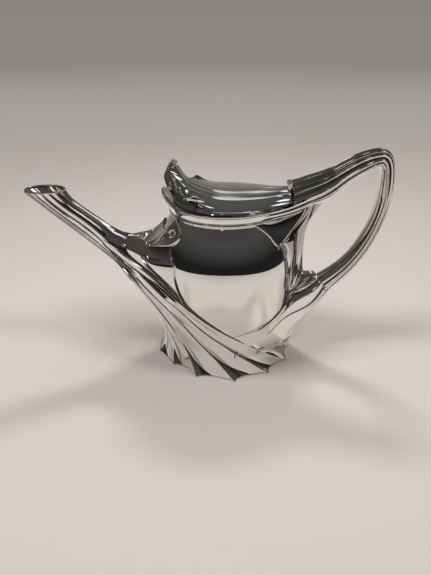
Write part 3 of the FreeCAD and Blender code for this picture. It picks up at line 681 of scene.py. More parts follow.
def make_fan(net):
    fan = net.grid(np.s_[net.skirt_row:net.fan_row + 1])
    for column in (0, -1):
        angle, radius, height = polar(net.points[net.skirt_row:net.seam_row + 3, column]).T
        side = -1 if column == 0 else 1
        bank = [around(angle + side * BANK_TURN * share, radius - drop, height + BANK_RISE * share)
                for share, drop in BANK]
        strip = np.stack(bank, axis=1)
        fan.grid(strip if column == -1 else strip[:, ::-1], 0.0)
    fan.build("spout_fan")


# Ribs of the spout's upper side as they run out on the pot, each with its end there and two places before it:
# the brow over the side hollow, the rim of the lobe, the lobe's top, the notch beside the horn and the horn.
UPPER_RIBS = (
    ((46, 57.9, 98.6), (32.5, 64.6, 97.6), (22.9, 71.9, 100)),
    ((37.5, 55, 112.8), (28.5, 59.4, 110.4), (17.8, 66.2, 106.8)),
    ((28.5, 44.2, 130.6), (22, 56, 113.6), (12.5, 65.2, 107.2)),
    ((21.5, 51, 119.5), (14, 57.6, 111.4), (7, 66.8, 107.6)),
    ((0, 49.6, 123.8), (0, 60.6, 111.6), (0, 70.8, 108)),
)
UPPER_HOLLOWS = (
    (0.8, 0.3, 0.9, 0.5, 0.4),
    (3.4, 1.6, 1.2, 0.6, 1.0),
    (3.2, 1.4, 0.7, 0.3, 0.5),
)
# How far the spout's top ribs are sunk, in flute depths, and what divides that depth between them.
TOP_SINK = np.array([0.0, 0.0, 0.0, 0.889, 0.889, 0.0])
TOP_DIVISORS = (1, 1, 9, 9, 9)
# How far the edge on the pot bows out between those ribs, as angle and height.
EDGE_BOWS = ((-3.5, 0.0), (-2.5, 0.0), (11.5, 1.0), (0.5, 2.4), (-1.0, -2.6))
UPPER_LEANS = (0.5, 0.8, 1.0, 1.0, 1.0, 1.0, 1.0, 1.0, -0.8, -0.5)
# How many rows a lobe's rolled rim runs up the spout and how many columns past its top, and the rim's radius.
RIM_ROWS, RIM_COLUMNS, RIM_RADIUS = 14, 13, 1.0
# The lobes and the horn between them: name, first and last rib.
LEAVES = (("spout_lobe_near", 2, 4), ("spout_horn", 4, 6), ("spout_lobe_far", 6, 8))


def upper_net(net):
    """The spout's upper side, from the top rib of one side over to that of the other, and the shade painted
    on it.
    """
    start = FAN_LEVELS.index(SEAM_HEIGHT)
    near = [[seam[-1]] + level for seam, level in zip(net.ribs[start:], levels_of(UPPER_RIBS))]
    hollows = [list(row) for row in UPPER_HOLLOWS]
    inside = [None, None, None]
    centres, _ = spout_frames()
    for index, turns in ((3, TOP_ROOT_TURNS), (2, TOP_TURNS), (1, TOP_TURNS), (0, TOP_TURNS)):
        flute = SPOUT_FLUTE[index]
        near.append(spout_section(index, turns, TOP_SINK * flute))
        hollows.append([flute / divisor for divisor in TOP_DIVISORS])
        inside.append(centres[index])
    ribs = both_sides(near, shared=True)
    flutes = [row + row[::-1] for row in hollows]
    bows = np.zeros((len(ribs), len(flutes[0]), 2))
    bows[0] = EDGE_BOWS + tuple((-angle, height) for angle, height in EDGE_BOWS[::-1])
    grid, painted_shade = lace(ribs, flutes, inside, bows, [UPPER_LEANS] * len(ribs))
    along, at = net.along[start:], net.at[net.seam_row:]
    return flow(grid, along, at), fade(painted_shade, along, at)


def upper_side(net):
    """That net, drawn to the lower one along both seams and laid on the pot, with its outward directions."""
    upper, painted_shade = upper_net(net)
    n = len(ACROSS)
    ease = (1 - ACROSS)[None, :, None] ** 2
    upper[:, :n] += (net.points[net.seam_row:, -1] - upper[:, 0])[:, None] * ease
    upper[:, -n:] += (net.points[net.seam_row:, 0] - upper[:, -1])[:, None] * ease[:, ::-1]
    laid = hug(upper, 0.5)
    laid[:, 0], laid[:, -1] = upper[:, 0], upper[:, -1]
    return laid, painted_shade, facing(laid)


def make_spout(net):
    spout = net.grid(np.s_[net.fan_row:])
    upper, painted_shade, normals = upper_side(net)
    n = len(ACROSS)
    # rows next to the pot between the lobes' rims belong to the lobes and the horn
    leaf_row = net.fan_row - net.seam_row
    for part in (np.s_[leaf_row:], np.s_[:leaf_row + 1, :2 * n + 1], np.s_[:leaf_row + 1, 8 * n:]):
        spout.grid(upper[part], painted_shade[part], normals[part])
    # the raised edge on the pot, with painted shade on its wall
    spout.grid(np.stack([under_face(upper[0]), upper[0]]), 0.3)
    spout.reed(upper[0], 0.5, 0.03)
    add_spout_bore(spout)
    spout.build("spout_tube")

    # each lobe has a rolled rim, up the spout and round its edge on the pot
    rims = {"spout_lobe_near": (2 * n, upper[0, 2 * n:3 * n + RIM_COLUMNS]),
            "spout_lobe_far": (8 * n, upper[0, 8 * n:7 * n - RIM_COLUMNS:-1])}
    for name, first, last in LEAVES:
        part = np.s_[:leaf_row + 1, first * n:last * n + 1]
        leaf = Piece().grid(upper[part], painted_shade[part], normals[part])
        if name in rims:
            column, edge = rims[name]
            down = upper[leaf_row + RIM_ROWS:0:-2, column]
            leaf.reed(through(np.concatenate([down, edge[::2]])), RIM_RADIUS, 0.2)
        leaf.build(name)


def add_spout_bore(spout):
    turns = np.degrees(ring_of(64))
    levels = [spout_section(index, turns, np.full(len(turns), SPOUT_WALL)) for index in (0, 1, 2, 3)]
    points, dark, _ = refine(levels, step=1.5)
    spout.grid(points, dark, closed_columns=True)


LIP_INSET, LIP_RISE = 0.9, 0.75
LIP_WIDTH, LIP_THICK = 1.05, 0.95


def make_lip():
    """A rolled bead round the mouth."""
    turns = np.degrees(ring_of(120))
    rail = spout_section(0, turns, np.full(len(turns), LIP_INSET))
    rail[:, 2] = MOUTH_HEIGHT + LIP_RISE
    outward = rail - rail.mean(0)
    outward[:, 2] = 0
    outward = unit(outward)
    rings = []
    for side in ring_of(14):
        rise = np.array([0, 0, LIP_THICK * math.sin(side)])
        rings.append(rail + outward * LIP_WIDTH * math.cos(side) + rise)
    lip = Piece().grid(np.stack(rings), closed_columns=True, closed_rows=True, flip=True)
    lip.build("spout_lip", slot="lip_silver")


# Handle

HANDLE_START = 53.9
HANDLE_REACH = 75.5
HANDLE_RISE = 108.0
JOINT_HEIGHT = 66.5
GRIP_THICK, GRIP_WIDTH = 6.0, 8.5
# The loop reaches no further out and up than the solid.
HANDLE_END, HANDLE_TOP = 135.9, 181.0
# Stations from the arm's end to the joint: shares of reach and rise, and of the grip's thickness and width.
HANDLE = ((0.000, 0.720, 1.53, 2.50), (0.172, 0.742, 1.95, 2.00), (0.360, 0.789, 1.92, 1.60),
          (0.500, 0.852, 1.58, 1.40), (0.800, 0.972, 1.32, 1.20), (0.935, 0.986, 1.22, 1.10),
          (0.995, 0.880, 1.05, 1.05), (0.970, 0.570, 0.98, 0.96), (0.868, 0.365, 1.03, 0.94),
          (0.640, 0.120, 1.25, 0.95), (0.430, -0.015, 1.62, 1.04))
# Ribs round the loop, with broader flutes on its flanks and a plain inside.
GRIP_RIBS = (-114, -92, -60, -37, -12.5, 12.5, 37, 60, 92, 114, 246)
GRIP_DEPTHS = (0.9, 1.1, 1.1, 1.2, 1.2, 1.2, 1.1, 1.1, 0.9, 0.15)
GRIP_CREST = 0.14
# The hollow end of the arm: share of the section at its edge and inside, and how deep it is.
ARM_EDGE, ARM_HOLLOW, ARM_DEPTH = 0.86, 0.84, 2.0


def grip_section():
    """Turns round the loop, how deep its flutes are there, and the shade painted in them."""
    turns, hollow, dark = [], [], []
    for first, last, depth in zip(GRIP_RIBS, GRIP_RIBS[1:], GRIP_DEPTHS):
        turns.append(first + (last - first) * ACROSS)
        hollow.append(depth * sag(1.0, GRIP_CREST))
        dark.append(min(1.0, depth) * np.exp(-((ACROSS - 0.5) / 0.2) ** 2))
    return np.concatenate(turns), np.concatenate(hollow), np.concatenate(dark)


def handle_rings(turns, hollow):
    """Fluted sections along the loop. Turn 0 is its outer side, and negative turns are the near side."""
    centres = np.array([(HANDLE_START + r * HANDLE_REACH, 0.0, JOINT_HEIGHT + h * HANDLE_RISE)
                        for r, h, _, _ in HANDLE])
    lengths = lengths_along(centres[:, None])
    after = cubic(centres, lengths, np.clip(lengths + 0.5, 0, lengths[-1]))
    before = cubic(centres, lengths, np.clip(lengths - 0.5, 0, lengths[-1]))
    forward = unit(after - before)
    turn = np.radians(turns)
    rings = []
    for centre, ahead, (_, _, thick, width) in zip(centres, forward, HANDLE):
        lift = np.array([-ahead[2], 0.0, ahead[0]])
        spoke = np.outer(thick * GRIP_THICK * np.cos(turn), lift)
        spoke += np.outer(width * GRIP_WIDTH * np.sin(turn), (0, 1, 0))
        rings.append(centre + spoke * (1 - hollow / np.linalg.norm(spoke, axis=1))[:, None])
    # the arm's end is cut off upright
    rings[0] += np.outer((HANDLE_START - rings[0][:, 0]) / forward[0][0], forward[0])
    return rings


def make_loop():
    """The loop of the handle. Returns its last section, where the root begins."""
    turns, hollow, dark = grip_section()
    rings = handle_rings(turns, hollow)
    points, dark, _ = refine(rings, dark)
    points[..., 0] = np.minimum(points[..., 0], HANDLE_END)
    points[..., 2] = np.minimum(points[..., 2], HANDLE_TOP)
    loop = Piece().grid(points, dark, closed_columns=True)
    end = points[0]
    middle = end.mean(0)
    face = np.stack([end, middle + (end - middle) * ARM_EDGE, middle + (end - middle) * ARM_HOLLOW])
    face[2][:, 0] += ARM_DEPTH
    # the hollow end of the arm gets painted shade
    loop.grid(face, 0.5, closed_columns=True, flip=True)
    loop.build("handle_loop")
    return turns, rings[-1]


# Near ribs of the root from the loop's end to the foot, as angle, radius and height: the inner rib, the one
# under the joint, and those that fan out over the pot.
ROOT_RIBS = (
    ((178, 76.5, 74.6), (176, 68.5, 73.2), (174.5, 60, 71.5), (173, 57.2, 69.5), (171.5, 56.8, 67)),
    ((173.8, 76.2, 69), (170, 67.5, 64.6), (166.5, 60, 61), (163.5, 57, 58), (160.5, 56, 55.2)),
    ((170.5, 76.4, 60.6), (164.6, 65.6, 55.8), (153, 57.8, 50.6), (128, 55.2, 45), (97, 53.2, 39.6)),
    ((170.3, 78.2, 52.2), (165.2, 67.6, 46), (151, 57.2, 43), (135, 54.8, 37.6), (117.5, 51.6, 29.8)),
    ((174, 81, 47.4), (169.5, 71.2, 37.6), (160.5, 62.4, 30.6), (150, 58.6, 23.4), (138, 50.6, 16)),
    ((178, 83, 46.6), (176.5, 75.4, 36.2), (174, 70.2, 27), (171, 65.6, 18), (167, 57, 9)),
)
ROOT_HOLLOWS = (
    (0.5, 0.6, 0.6, 0.8, 0.6, 0.9),
    (0.6, 1.0, 0.55, 0.5, 0.5, 0.6),
    (0.5, 1.6, 0.45, 0.4, 0.45, 0.6),
    (0.2, 0.6, 0.4, 0.35, 0.4, 0.6),
    (0.0, 0.0, 0.4, 0.4, 0.5, 0.6),
    (0.0, 0.0, 0.2, 0.3, 0.4, 0.5),
)
# Petals of the bud where the loop meets the root.
JOINT_PETALS = (
    ((57.5, -14.8, 66), (60.3, -12.2, 78), (61, -9.4, 89)),
    ((60, -13.6, 66), (63.6, -10.2, 76), (65.4, -5.8, 85)),
    ((61, -13.4, 65), (67, -10.5, 69.6), (73, -6, 72.2)),
    ((63, -12.8, 64), (70, -10.8, 66.6), (77, -8.4, 69.8)),
)
PETAL_RADIUS = 1.5
# Turns on the loop's last section at which those ribs begin, and how far out of it.
ROOT_STARTS = (191, 222, -112, -80, -48, -16)
ROOT_STEP = 0.5
ROOT_LEANS = (1.0, 1.0, -0.55, -0.55, -0.55, 1.0, 0.55, 0.55, 0.55, 1.0, 1.0)
ROOT_CREST = 0.4
# Points inside the root's first two levels. The others go round the pot.
ROOT_INSIDE = ((86.4, 0.0, 64.9), (72.0, 0.0, 60.0), None, None, None, None)


def make_root(turns, section):
    middle = section.mean(0)
    ring = [section[np.argmin(np.abs(turns - turn))] for turn in ROOT_STARTS]
    near = [[point + ROOT_STEP * (point - middle) / np.linalg.norm(point - middle) for point in ring]]
    ribs = both_sides(near + levels_of(ROOT_RIBS))
    flutes = [mirrored(row) for row in ROOT_HOLLOWS]
    net = lace(ribs, flutes, ROOT_INSIDE, leans=[ROOT_LEANS] * len(ribs), crest=ROOT_CREST)
    points, painted_shade, _ = refine(*net)
    points = hug(points)
    root = Piece().grid(points, painted_shade, flip=True)
    top = np.stack([points[:, -1] + (points[:, 0] - points[:, -1]) * s for s in np.linspace(0, 1, 9)], axis=1)
    # the top gets a little painted shade
    root.grid(hug(top), 0.2, flip=True)
    for path in JOINT_PETALS:
        for side in (1, -1):
            root.reed(through(np.array(path) * (1, side, 1)), PETAL_RADIUS, 0.45, 10)
    root.build("handle_root")


# Near ribs of the web from under the arm out to its scalloped edge on the pot: along the collar, to the cusp,
# to the lower scallop, to the joint, and the ridge beside the opening.
WEB_RIBS = (
    ((152, 50, 138), (150, 50, 131.4), (143, 48.2, 131.2), (136, 46.4, 131), (128.5, 44.4, 130.9),
     (121, 42.8, 130.7)),
    ((170, 66.5, 141), (168.5, 64.4, 133), (165, 60.5, 126.5), (158.5, 56.6, 120.5), (150.5, 55, 116.2),
     (139, 54, 112)),
    ((174.5, 73.5, 141), (174, 70, 132), (170.5, 64.5, 123), (166, 60.6, 117.5), (159.5, 57.2, 113.8),
     (151, 54.6, 111)),
    ((177, 80, 141.5), (177, 74.5, 131), (176.2, 68.6, 121.4), (175.4, 65.6, 108), (172.5, 63, 90),
     (164, 57.4, 66)),
    ((178.4, 82, 141.5), (178.3, 76, 131.2), (178.1, 69.8, 121), (177.9, 66.9, 106), (177.8, 66.6, 87),
     (177.9, 69, 64)),
)
WEB_HOLLOWS = (
    (1.0, 0.4, 0.4, 0.3, -0.8),
    (3.0, 0.8, 0.4, 0.4, -0.8),
    (3.6, 1.0, 0.4, 0.5, -0.9),
    (3.2, 1.0, 0.4, 0.6, -1.0),
    (1.6, 0.6, 0.3, 0.7, -1.0),
    (0.2, 0.2, 0.2, 0.6, -1.0),
)
# How far the edge on the pot bows out between those ribs, as angle and height.
WEB_BOWS = ((4.0, 0.0), (1.0, 1.5), (3.0, 6.0))
# Raised arcs round the web's edge on the pot, as angle and height.
WEB_ARCS = (
    ((121, 130.4), (127.5, 126.5), (133, 121.5), (136.5, 116.5), (139.3, 112)),
    ((138.2, 108.6), (144.5, 112.6), (151, 111.4), (156, 106), (158.5, 99.5), (159, 94)),
)
ARC_RADIUS = 0.5
# Painted dark reflection on the web's flank: how dark it is, and how many flutes in from the edge it ends.
FLANK_DARK, FLANK_END, FLANK_FADE = 0.85, 3.4, 0.5


def make_web():
    ribs = both_sides(levels_of(WEB_RIBS))
    count = len(ribs)
    flutes = [mirrored(row) for row in WEB_HOLLOWS]
    bows = np.zeros((count, len(flutes[0]), 2))
    bows[-1, :3] = WEB_BOWS
    bows[-1, -3:] = [(-angle, height) for angle, height in WEB_BOWS[::-1]]
    points, painted_shade, _ = refine(*lace(ribs, flutes, [None] * count, bows), 0.8)
    points = hug(points, 0.3)
    # the flanks get a painted dark reflection, fading in from both edges
    column = np.arange(points.shape[1])
    inward = np.minimum(column, column[::-1]) / len(ACROSS)
    flank = FLANK_DARK * np.clip((FLANK_END - inward) / FLANK_FADE, 0, 1)
    web = Piece().grid(points, np.maximum(painted_shade, flank), flip=True)
    # the edge wall on the pot gets painted shade
    web.grid(np.stack([points[-1], under_face(points[-1])]), 0.2, flip=True)
    for side in (1, -1):
        for path in WEB_ARCS:
            angle, height = through(path, 0.5).T
            web.reed(around(side * angle, pot_radius(height) + ARC_RADIUS, height), ARC_RADIUS)
    web.build("handle_web")


# Collar

COLLAR_REACH = 3.2
# How far the beak under the lid's front stands out and up from the collar, and how narrow it is.
BEAK_REACH, BEAK_RISE, BEAK_POWER = 5.6, 9.4, 10
# Ribs that run from the collar's band along the arm's underside.
SWOOP_RIBS = (
    ((126, 46.2, 138.9), (143, 50.6, 139.4), (157, 59, 141.4), (166.5, 70, 146.4), (172, 84, 154)),
    ((126, 46.4, 136.4), (143.5, 51.2, 136.8), (158.5, 60.6, 138.6), (168.5, 72, 142.8), (174, 86.5, 150)),
    ((126, 46.2, 133.6), (144, 51, 134), (160, 61, 135.6), (171, 72.5, 139.8), (176.5, 87, 147.4)),
    ((126, 45.6, 131.3), (144, 49.6, 131.9), (161, 59.5, 133.6), (174, 71, 138.6), (179, 85, 146.5)),
)
SWOOP_FLUTES = (0.5, 0.5, 0.8)


def collar_radius(back):
    """Outer radius of the collar's band, by the share of a direction that points to the handle."""
    side = NECK_RADIUS + COLLAR_REACH
    return side + (HANDLE_START - 0.1 - side) * np.clip(back, 0, 1) ** 4


def bead(low, high, reach, thick, count):
    """A half round moulding between two shares of the height, as radii and shares."""
    for s in np.linspace(-0.5, 0.5, count):
        height = low + (high - low) * (0.5 + 0.5 * math.sin(math.pi * s))
        yield reach - thick + thick * math.cos(math.pi * s), height


def collar_profile(angles):
    """Radii and heights up the band's outer side, over its edge and down its inner side."""
    to_spout = np.cos(np.radians(angles))
    beak = np.clip(to_spout, 0, 1) ** BEAK_POWER
    low, tall = SHOULDER_HEIGHT + 0.1, RIM_HEIGHT - SHOULDER_HEIGHT - 0.1
    inner = NECK_RADIUS + 0.05
    outer = collar_radius(-to_spout)
    lip = outer + BEAK_REACH * beak
    rise = BEAK_RISE * beak
    for reach, height in (*bead(0.0, 0.17, outer, 0.7, 7), *bead(0.18, 0.28, outer - 0.5, 0.4, 5)):
        yield reach, low + tall * height
    for s in np.linspace(0.0, 1.0, 8):
        reach = outer - 0.7 + 0.9 * s ** 2 + (lip - outer) * s ** 2
        yield reach, low + (tall * (0.30 + 0.5 * s) + rise * s ** 2 * 0.8)
    for reach, height in bead(0.82, 1.0, 0.35, 0.55, 9):
        yield lip + reach, low + (tall * height + rise * (0.8 + (height - 0.82) / 0.18 * 0.2))
    yield lip - 1.6, low + (tall * 0.98 + rise)
    yield inner + 2.0, low + (tall * 0.97 + 0.25 * rise)
    yield inner, low + tall
    yield inner, low
    yield outer - 0.7, low


def make_collar():
    angles = np.degrees(ring_of(180))
    points = np.stack([around(angles, radius, height) for radius, height in collar_profile(angles)])
    collar = Piece().grid(points, closed_columns=True, flip=True)
    ribs = np.array(levels_of(SWOOP_RIBS))
    count = len(ribs)
    for side in (1, -1):
        points, painted_shade, _ = refine(*lace(ribs * (1, side, 1), [SWOOP_FLUTES] * count, [None] * count))
        collar.grid(points, painted_shade, flip=side > 0)
    collar.build("collar")


# Lid

# Height at which the lid's walls stand on the collar, and radius of its front wall there.
LID_SEAT = 140.05
FRONT_SEAT_RADIUS, FRONT_SEAT_TURN = 41.4, 54.0
LID_WALL = 1.6
LID_TOP = 171.3
# Ribs of the lid's near half, from the hinge to the front edge: the edge, three between, the one beside the
# middle and the middle one, each as place along the pot, half width and height.
LID_RIBS = (
    ((52.1, 20.4, 142.7), (40.3, 29.8, 142.6), (22, 39.6, 142.4), (3, 42.6, 142.5), (-8, 41.9, 143.2),
     (-15.5, 39, 145.3), (-19, 36.8, 147.8), (-22, 34.6, 150.2), (-24, 32.8, 151.6)),
    ((52.1, 18.2, 144.1), (40.3, 26.7, 143.7), (22, 35.5, 143.3), (3, 38.2, 143.3), (-8.4, 37.6, 144.2),
     (-17, 34.8, 146.4), (-22, 32, 148), (-26.5, 29, 148.6), (-30.8, 25.8, 148.2)),
    ((52.1, 15.4, 145.9), (40.3, 22.5, 145), (22, 30, 144.3), (3, 32.4, 144.1), (-9, 31.8, 145.3),
     (-18.8, 29.2, 148.3), (-26, 25.6, 150.2), (-32, 21.4, 151.2), (-37.6, 16.2, 152.6)),
    ((52.1, 10.2, 148.1), (40.3, 14.9, 146.6), (22, 19.8, 145.5), (3, 21.5, 145.3), (-9.6, 21, 146.8),
     (-20.8, 18.8, 150.4), (-30, 15, 154), (-37.2, 11.2, 159.2), (-44.2, 7.8, 165.8)),
    ((52.1, 5.1, 149.4), (40.3, 7.5, 147.6), (22, 9.9, 146.2), (3, 10.8, 146), (-10, 10.4, 147.7),
     (-21.8, 9, 151.6), (-31, 7.4, 156.6), (-36.2, 6.2, 164.2), (-41.6, 5.2, 170.8)),
    ((52.1, 0, 149.9), (40.3, 0, 147.9), (22, 0, 146.4), (3, 0, 146.2), (-10.1, 0, 148),
     (-22, 0, 152), (-31.2, 0, 157), (-36.4, 0, 165), (-40.8, 0, 171.3)),
)
LID_HOLLOWS = (0.4, 0.2, 0.07, 0.04, 0.08, 0.3, 0.55, 0.7, 0.5)
# The flutes are cut in towards places this far in front of the middle rib, at this height.
LID_INSIDE, LID_INSIDE_HEIGHT = 8.0, 120.0
FRONT_STATION = 6
# Where the edge is low its wall stands out over the collar, and where it rises the wall stands further in.
LOW_EDGE, EDGE_FADE = 146.5, 3.0
EDGE_OUT, COLLAR_INSET, HIGH_RADIUS = 1.0, 0.5, 42.2
# How far the side walls tuck in, and the height from edge to seat that gives the full tuck.
SIDE_TUCK, SIDE_TUCK_HEIGHT = 1.8, 7.0
# The same for the front wall, which swells out instead where the edge rises to the thumb piece.
FRONT_TUCK, FRONT_TUCK_HEIGHT = 3.0, 14.0
THUMB_SWELL, THUMB_HEIGHT, THUMB_FADE = 5.2, 152.0, 12.0
# Rolled front edge: place beside the edge and radius.
ROLL_SHIFT, ROLL_RADIUS = (-0.3, 0.0, -0.2), 1.15
# Rolled tip of the thumb piece: lowest height, place beside the edge and radius.
TIP_HEIGHT, TIP_SHIFT, TIP_RADIUS = 166.0, (1.0, 0.0, -1.7), 2.3
# Scrolls beside the thumb piece: centre of the near one, turns, first and last radius, drift and thickness.
SCROLL_CENTRE = (-43.6, -12.0, 154.0)
SCROLL_TURNS, SCROLL_SIZES, SCROLL_DRIFT, SCROLL_THICK = 1.6, (3.4, 0.7), 0.02, 0.85


class Lid:
    """The lid's upper side as a fine grid, with the row where its thumb piece begins."""

    def __init__(self):
        near = np.array(LID_RIBS).transpose(1, 0, 2) * (1, -1, 1)
        ribs = both_sides(near, shared=True)
        flutes = [[depth] * (len(ribs[0]) - 1) for depth in LID_HOLLOWS]
        inside = [(row[-1, 0] - LID_INSIDE, 0.0, LID_INSIDE_HEIGHT) for row in near]
        self.points, self.dark, rows = refine(*lace(ribs, flutes, inside), 0.9)
        self.points[..., 2] = np.minimum(self.points[..., 2], LID_TOP)
        self.split = rows[FRONT_STATION]
        self.front = self.points[-1]
        turn = np.linspace(FRONT_SEAT_TURN, -FRONT_SEAT_TURN, len(self.front))
        self.seat = around(turn, FRONT_SEAT_RADIUS, LID_SEAT)


def side_wall(top, column):
    """Wall from an edge of the lid down to its seat."""
    edge = top.points[:, column]
    foot = edge.copy()
    foot[:, 2] = LID_SEAT
    reach = np.hypot(foot[:, 0], foot[:, 1])
    seated = np.minimum(reach + EDGE_OUT, collar_radius(foot[:, 0] / reach) - COLLAR_INSET)
    low = np.clip((LOW_EDGE - edge[:, 2]) / EDGE_FADE, 0, 1)
    foot[:, :2] *= ((low * seated + (1 - low) * np.minimum(reach, HIGH_RADIUS)) / reach)[:, None]
    foot[-1] = top.seat[column]
    wall = []
    for s in np.linspace(0, 1, 8):
        row = edge + (foot - edge) * s
        tuck = math.sin(math.pi * s) * np.clip((edge[:, 2] - foot[:, 2]) / SIDE_TUCK_HEIGHT, 0.1, 1)
        row[:, :2] *= (1 - SIDE_TUCK * tuck / np.hypot(row[:, 0], row[:, 1]))[:, None]
        wall.append(row)
    return np.stack(wall, axis=1)


def make_lid_shell(top):
    shell = top.points[:top.split + 1]
    lid = Piece().grid(shell, top.dark[:top.split + 1])
    # the walls, the back and the underside get painted shade
    lid.grid(side_wall(top, 0)[:, ::-1], 0.2)
    lid.grid(side_wall(top, -1), 0.2)
    back = top.points[0]
    base = back.copy()
    base[:, 2] = LID_SEAT
    lid.grid(np.stack([base, back]), 0.4)
    lid.grid(shell - np.array([0, 0, LID_WALL]), 0.5, flip=True)
    lid.build("lid_shell", "lid")


def make_finial(top):
    front = top.front
    finial = Piece().grid(top.points[top.split:], top.dark[top.split:])
    thumb = np.clip((front[:, 2] - THUMB_HEIGHT) / THUMB_FADE, 0, 1)
    wall = []
    for s in np.linspace(0, 1, 24):
        row = front + (top.seat - front) * s
        share = np.clip((front[:, 2] - top.seat[:, 2]) / FRONT_TUCK_HEIGHT, 0, 1)
        tuck = math.sin(math.pi * s ** 0.8) * share
        row[:, 0] += FRONT_TUCK * tuck * (1 - thumb) - THUMB_SWELL * thumb * math.sin(math.pi * s ** 0.55)
        wall.append(row)
    # the front wall under the thumb piece gets painted shade
    finial.grid(np.stack(wall), 0.5)
    finial.reed(front[2:-2] + np.array(ROLL_SHIFT), ROLL_RADIUS, 0.1)
    finial.reed(front[front[:, 2] > TIP_HEIGHT] + np.array(TIP_SHIFT), TIP_RADIUS, 0.3, 14)
    turn = np.linspace(0, 2 * math.pi * SCROLL_TURNS, 48)
    size = np.linspace(*SCROLL_SIZES, 48)
    curl = np.stack([SCROLL_DRIFT * turn, size * np.cos(turn), size * np.sin(turn)], -1) + SCROLL_CENTRE
    for side in (1, -1):
        finial.reed(curl * (1, side, 1), SCROLL_THICK, 0.1)
    finial.build("lid_finial", "lid")


make_vessel()
drapery = Drapery()
make_skirt(drapery)
make_fan(drapery)
make_spout(drapery)
make_lip()
make_root(*make_loop())
make_web()
make_collar()
lid_top = Lid()
make_lid_shell(lid_top)
make_finial(lid_top)

SLOTS = {part["node"]: part["material_slot"] for part in frame["record"]["subparts"]}
for node, item in frame["nodes"].items():
    item.data.materials.clear()
    item.data.materials.append(MATERIALS[SLOTS[node]])


# Floor, light and camera, in metres

# Colour of the floor near the object and far off: painted fall-off of the light, darker further away.
FLOOR = (0.70, 0.645, 0.59)
FAR_FLOOR = (0.36, 0.335, 0.315)
# The floor further off as the camera and the silver see it, from near to far, with the fall-off of the light
# painted in: darker further off.
GLOW = (0.58, 0.535, 0.49)
FAR_GLOW = (0.40, 0.37, 0.345)
HORIZON = (0.26, 0.24, 0.225)
FLOOR_RADII = (0.0001, 0.25, 0.5, 0.9, 1.5, 2.5, 5.0, 12.0, 40.0)
FLOOR_DROP = 0.0002
# Distance that counts as one on the floor's colour ramps, and where the glow takes over.
RAMP_LENGTH = 4.0
GLOW_REACH = (0.35, 1.3)
# The pale table is an oval round the object. Past its edge lies the dark floor of the room.
TABLE_SIZE = (0.46, 0.61)
TABLE_SHIFT = 0.045
TABLE_EDGE = (0.985, 1.015)
# Share of a direction that points behind the object, from the dark room to the pale backdrop.
BEHIND = (0.3, 0.75)
DARK_FLOOR = (0.014, 0.013, 0.012)
CEILING = (0.045, 0.045, 0.045)
BACKDROP_STOPS = ((0.0, HORIZON), (0.35, (0.10, 0.096, 0.092)), (1.0, CEILING))
ROOM_STOPS = ((0.0, DARK_FLOOR), (0.2, (0.036, 0.034, 0.032)), (0.5, (0.065, 0.062, 0.06)), (1.0, CEILING))
KEY = (-0.55, -0.25, 1.25)
FILL = (0.75, -0.35, 1.15)
BACK = (0.1, 0.8, 1.2)
# Soft panels that the silver mirrors, three for the lamps: direction, inner and outer angle, and level.
PANELS = (
    (KEY, 2.0, 6.0, 1.6),
    (FILL, 2.0, 6.0, 1.4),
    (BACK, 3.0, 8.0, 1.2),
    ((0.52, 0.28, 0.8), 8.0, 17.0, 1.3),
    ((0.08, 0.92, 0.36), 1.0, 4.5, 0.8),
    ((-0.1, -0.7, 1.1), 1.5, 4.0, 1.2),
)
LIGHT_TARGET = (0.0, 0.0, 0.08)


def seen_directly(tree):
    """One for camera, glossy and transmission rays, and none for the light that falls on things."""
    path = add_node(tree, "LightPath")
    total = maths(tree, "ADD", path.outputs["Is Camera Ray"], path.outputs["Is Glossy Ray"])
    total = maths(tree, "ADD", total, path.outputs["Is Transmission Ray"])
    return maths(tree, "MINIMUM", total, 1.0)


def floor_material():
    material = bpy.data.materials.new("floor")
    material.use_nodes = True
    tree = material.node_tree
    shader = tree.nodes["Principled BSDF"]
    shader.inputs["Roughness"].default_value = 0.6
    shader.inputs["Specular IOR Level"].default_value = 0.1
    place = add_node(tree, "TexCoord").outputs["Object"]
    measure = add_node(tree, "VectorMath", place)
    measure.operation = "LENGTH"
    length = measure.outputs["Value"]
    distance = maths(tree, "DIVIDE", length, RAMP_LENGTH)

    # none on the table and behind it, one on the dark floor
    split = add_node(tree, "SeparateXYZ", place)
    across = maths(tree, "DIVIDE", split.outputs["X"], TABLE_SIZE[0])
    before = maths(tree, "DIVIDE", maths(tree, "ADD", split.outputs["Y"], TABLE_SHIFT), TABLE_SIZE[1])
    oval = maths(tree, "ADD", maths(tree, "POWER", across, 2.0), maths(tree, "POWER", before, 2.0))
    bearing = maths(tree, "DIVIDE", split.outputs["Y"], length)
    beyond = maths(tree, "MULTIPLY", map_range(tree, oval, *TABLE_EDGE, smooth=True),
                   map_range(tree, bearing, *BEHIND[::-1], smooth=True))

    # painted fall-off of the light: the floor's colour and glow darken with distance
    pale = stops(tree, distance, (0.06, FLOOR), (0.5, FAR_FLOOR))
    tree.links.new(blend_colours(tree, beyond, pale, DARK_FLOOR), shader.inputs["Base Color"])
    far = stops(tree, distance, (0.1, GLOW), (0.3, FAR_GLOW), (0.9, HORIZON))
    glow = add_node(tree, "Emission", blend_colours(tree, beyond, far, DARK_FLOOR))
    reach = map_range(tree, length, *GLOW_REACH, smooth=True)
    shown = maths(tree, "MULTIPLY", reach, seen_directly(tree))
    blend = add_node(tree, "MixShader", shown, shader.outputs[0], glow.outputs[0])
    tree.links.new(blend.outputs[0], tree.nodes["Material Output"].inputs["Surface"])
    return material


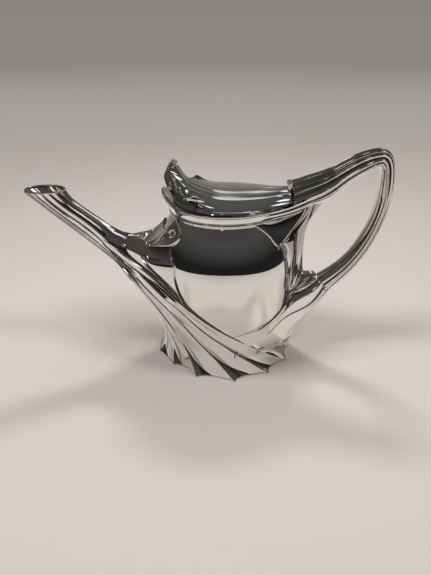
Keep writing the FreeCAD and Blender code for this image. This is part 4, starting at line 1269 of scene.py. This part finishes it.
def make_floor():
    turns = ring_of(128)
    verts = [(r * math.cos(t), r * math.sin(t), -FLOOR_DROP) for r in FLOOR_RADII for t in turns]
    mesh = bpy.data.meshes.new("floor")
    mesh.from_pydata(verts, [], quads(len(FLOOR_RADII), len(turns), closed_columns=True, flip=True))
    mesh.materials.append(floor_material())
    floor = put("floor", mesh)


def make_world():
    world = bpy.data.worlds.new("studio")
    bpy.context.scene.world = world
    world.use_nodes = True
    tree = world.node_tree
    back = tree.nodes["Background"]
    place = add_node(tree, "TexCoord").outputs["Generated"]
    split = add_node(tree, "SeparateXYZ", place)
    behind = stops(tree, split.outputs["Z"], *BACKDROP_STOPS)
    room = stops(tree, split.outputs["Z"], *ROOM_STOPS)
    side = map_range(tree, split.outputs["Y"], *BEHIND, smooth=True)
    colour = blend_colours(tree, side, room, behind)
    for position, inner, outer, level in PANELS:
        toward = add_node(tree, "VectorMath", place)
        toward.operation = "DOT_PRODUCT"
        toward.inputs[1].default_value = np.array(position) / np.linalg.norm(position)
        edges = [math.cos(math.radians(angle)) for angle in (outer, inner)]
        near = map_range(tree, toward.outputs["Value"], *edges, smooth=True)
        colour = blend_colours(tree, near, colour, (level, level, level))
    tree.links.new(colour, back.inputs["Color"])
    back.inputs["Strength"].default_value = 1.0


def add_light(name, position, size, energy):
    data = bpy.data.lights.new(name, "AREA")
    data.shape = "RECTANGLE"
    data.size, data.size_y = size
    data.energy = energy
    light = put(name, data)
    light.location = position
    toward = Vector(np.array(LIGHT_TARGET) - np.array(position))
    light.rotation_euler = toward.to_track_quat("-Z", "Y").to_euler()
    light.visible_glossy = False


# The camera fitted to the photograph: place, tilt down in degrees, and focal length and height in pixels.
CAMERA_PLACE = (-0.00761, -0.43551, 0.2718)
CAMERA_TILT = 26.0
FOCAL_LENGTH, PHOTO_HEIGHT = 550.0, 575.0
SENSOR = 36.0


def make_camera():
    data = bpy.data.cameras.new("camera")
    data.sensor_width = SENSOR
    data.lens = SENSOR * FOCAL_LENGTH / PHOTO_HEIGHT
    data.clip_start = 0.01
    camera = put("camera", data)
    camera.location = CAMERA_PLACE
    camera.rotation_euler = (math.pi / 2 - math.radians(CAMERA_TILT), 0.0, 0.0)
    bpy.context.scene.camera = camera


make_floor()
make_world()
add_light("key", KEY, (0.4, 0.4), 8.0)
add_light("fill", FILL, (0.35, 0.35), 5.5)
add_light("back", BACK, (0.3, 0.15), 6.5)
make_camera()
bpy.context.scene.view_settings.view_transform = "Standard"
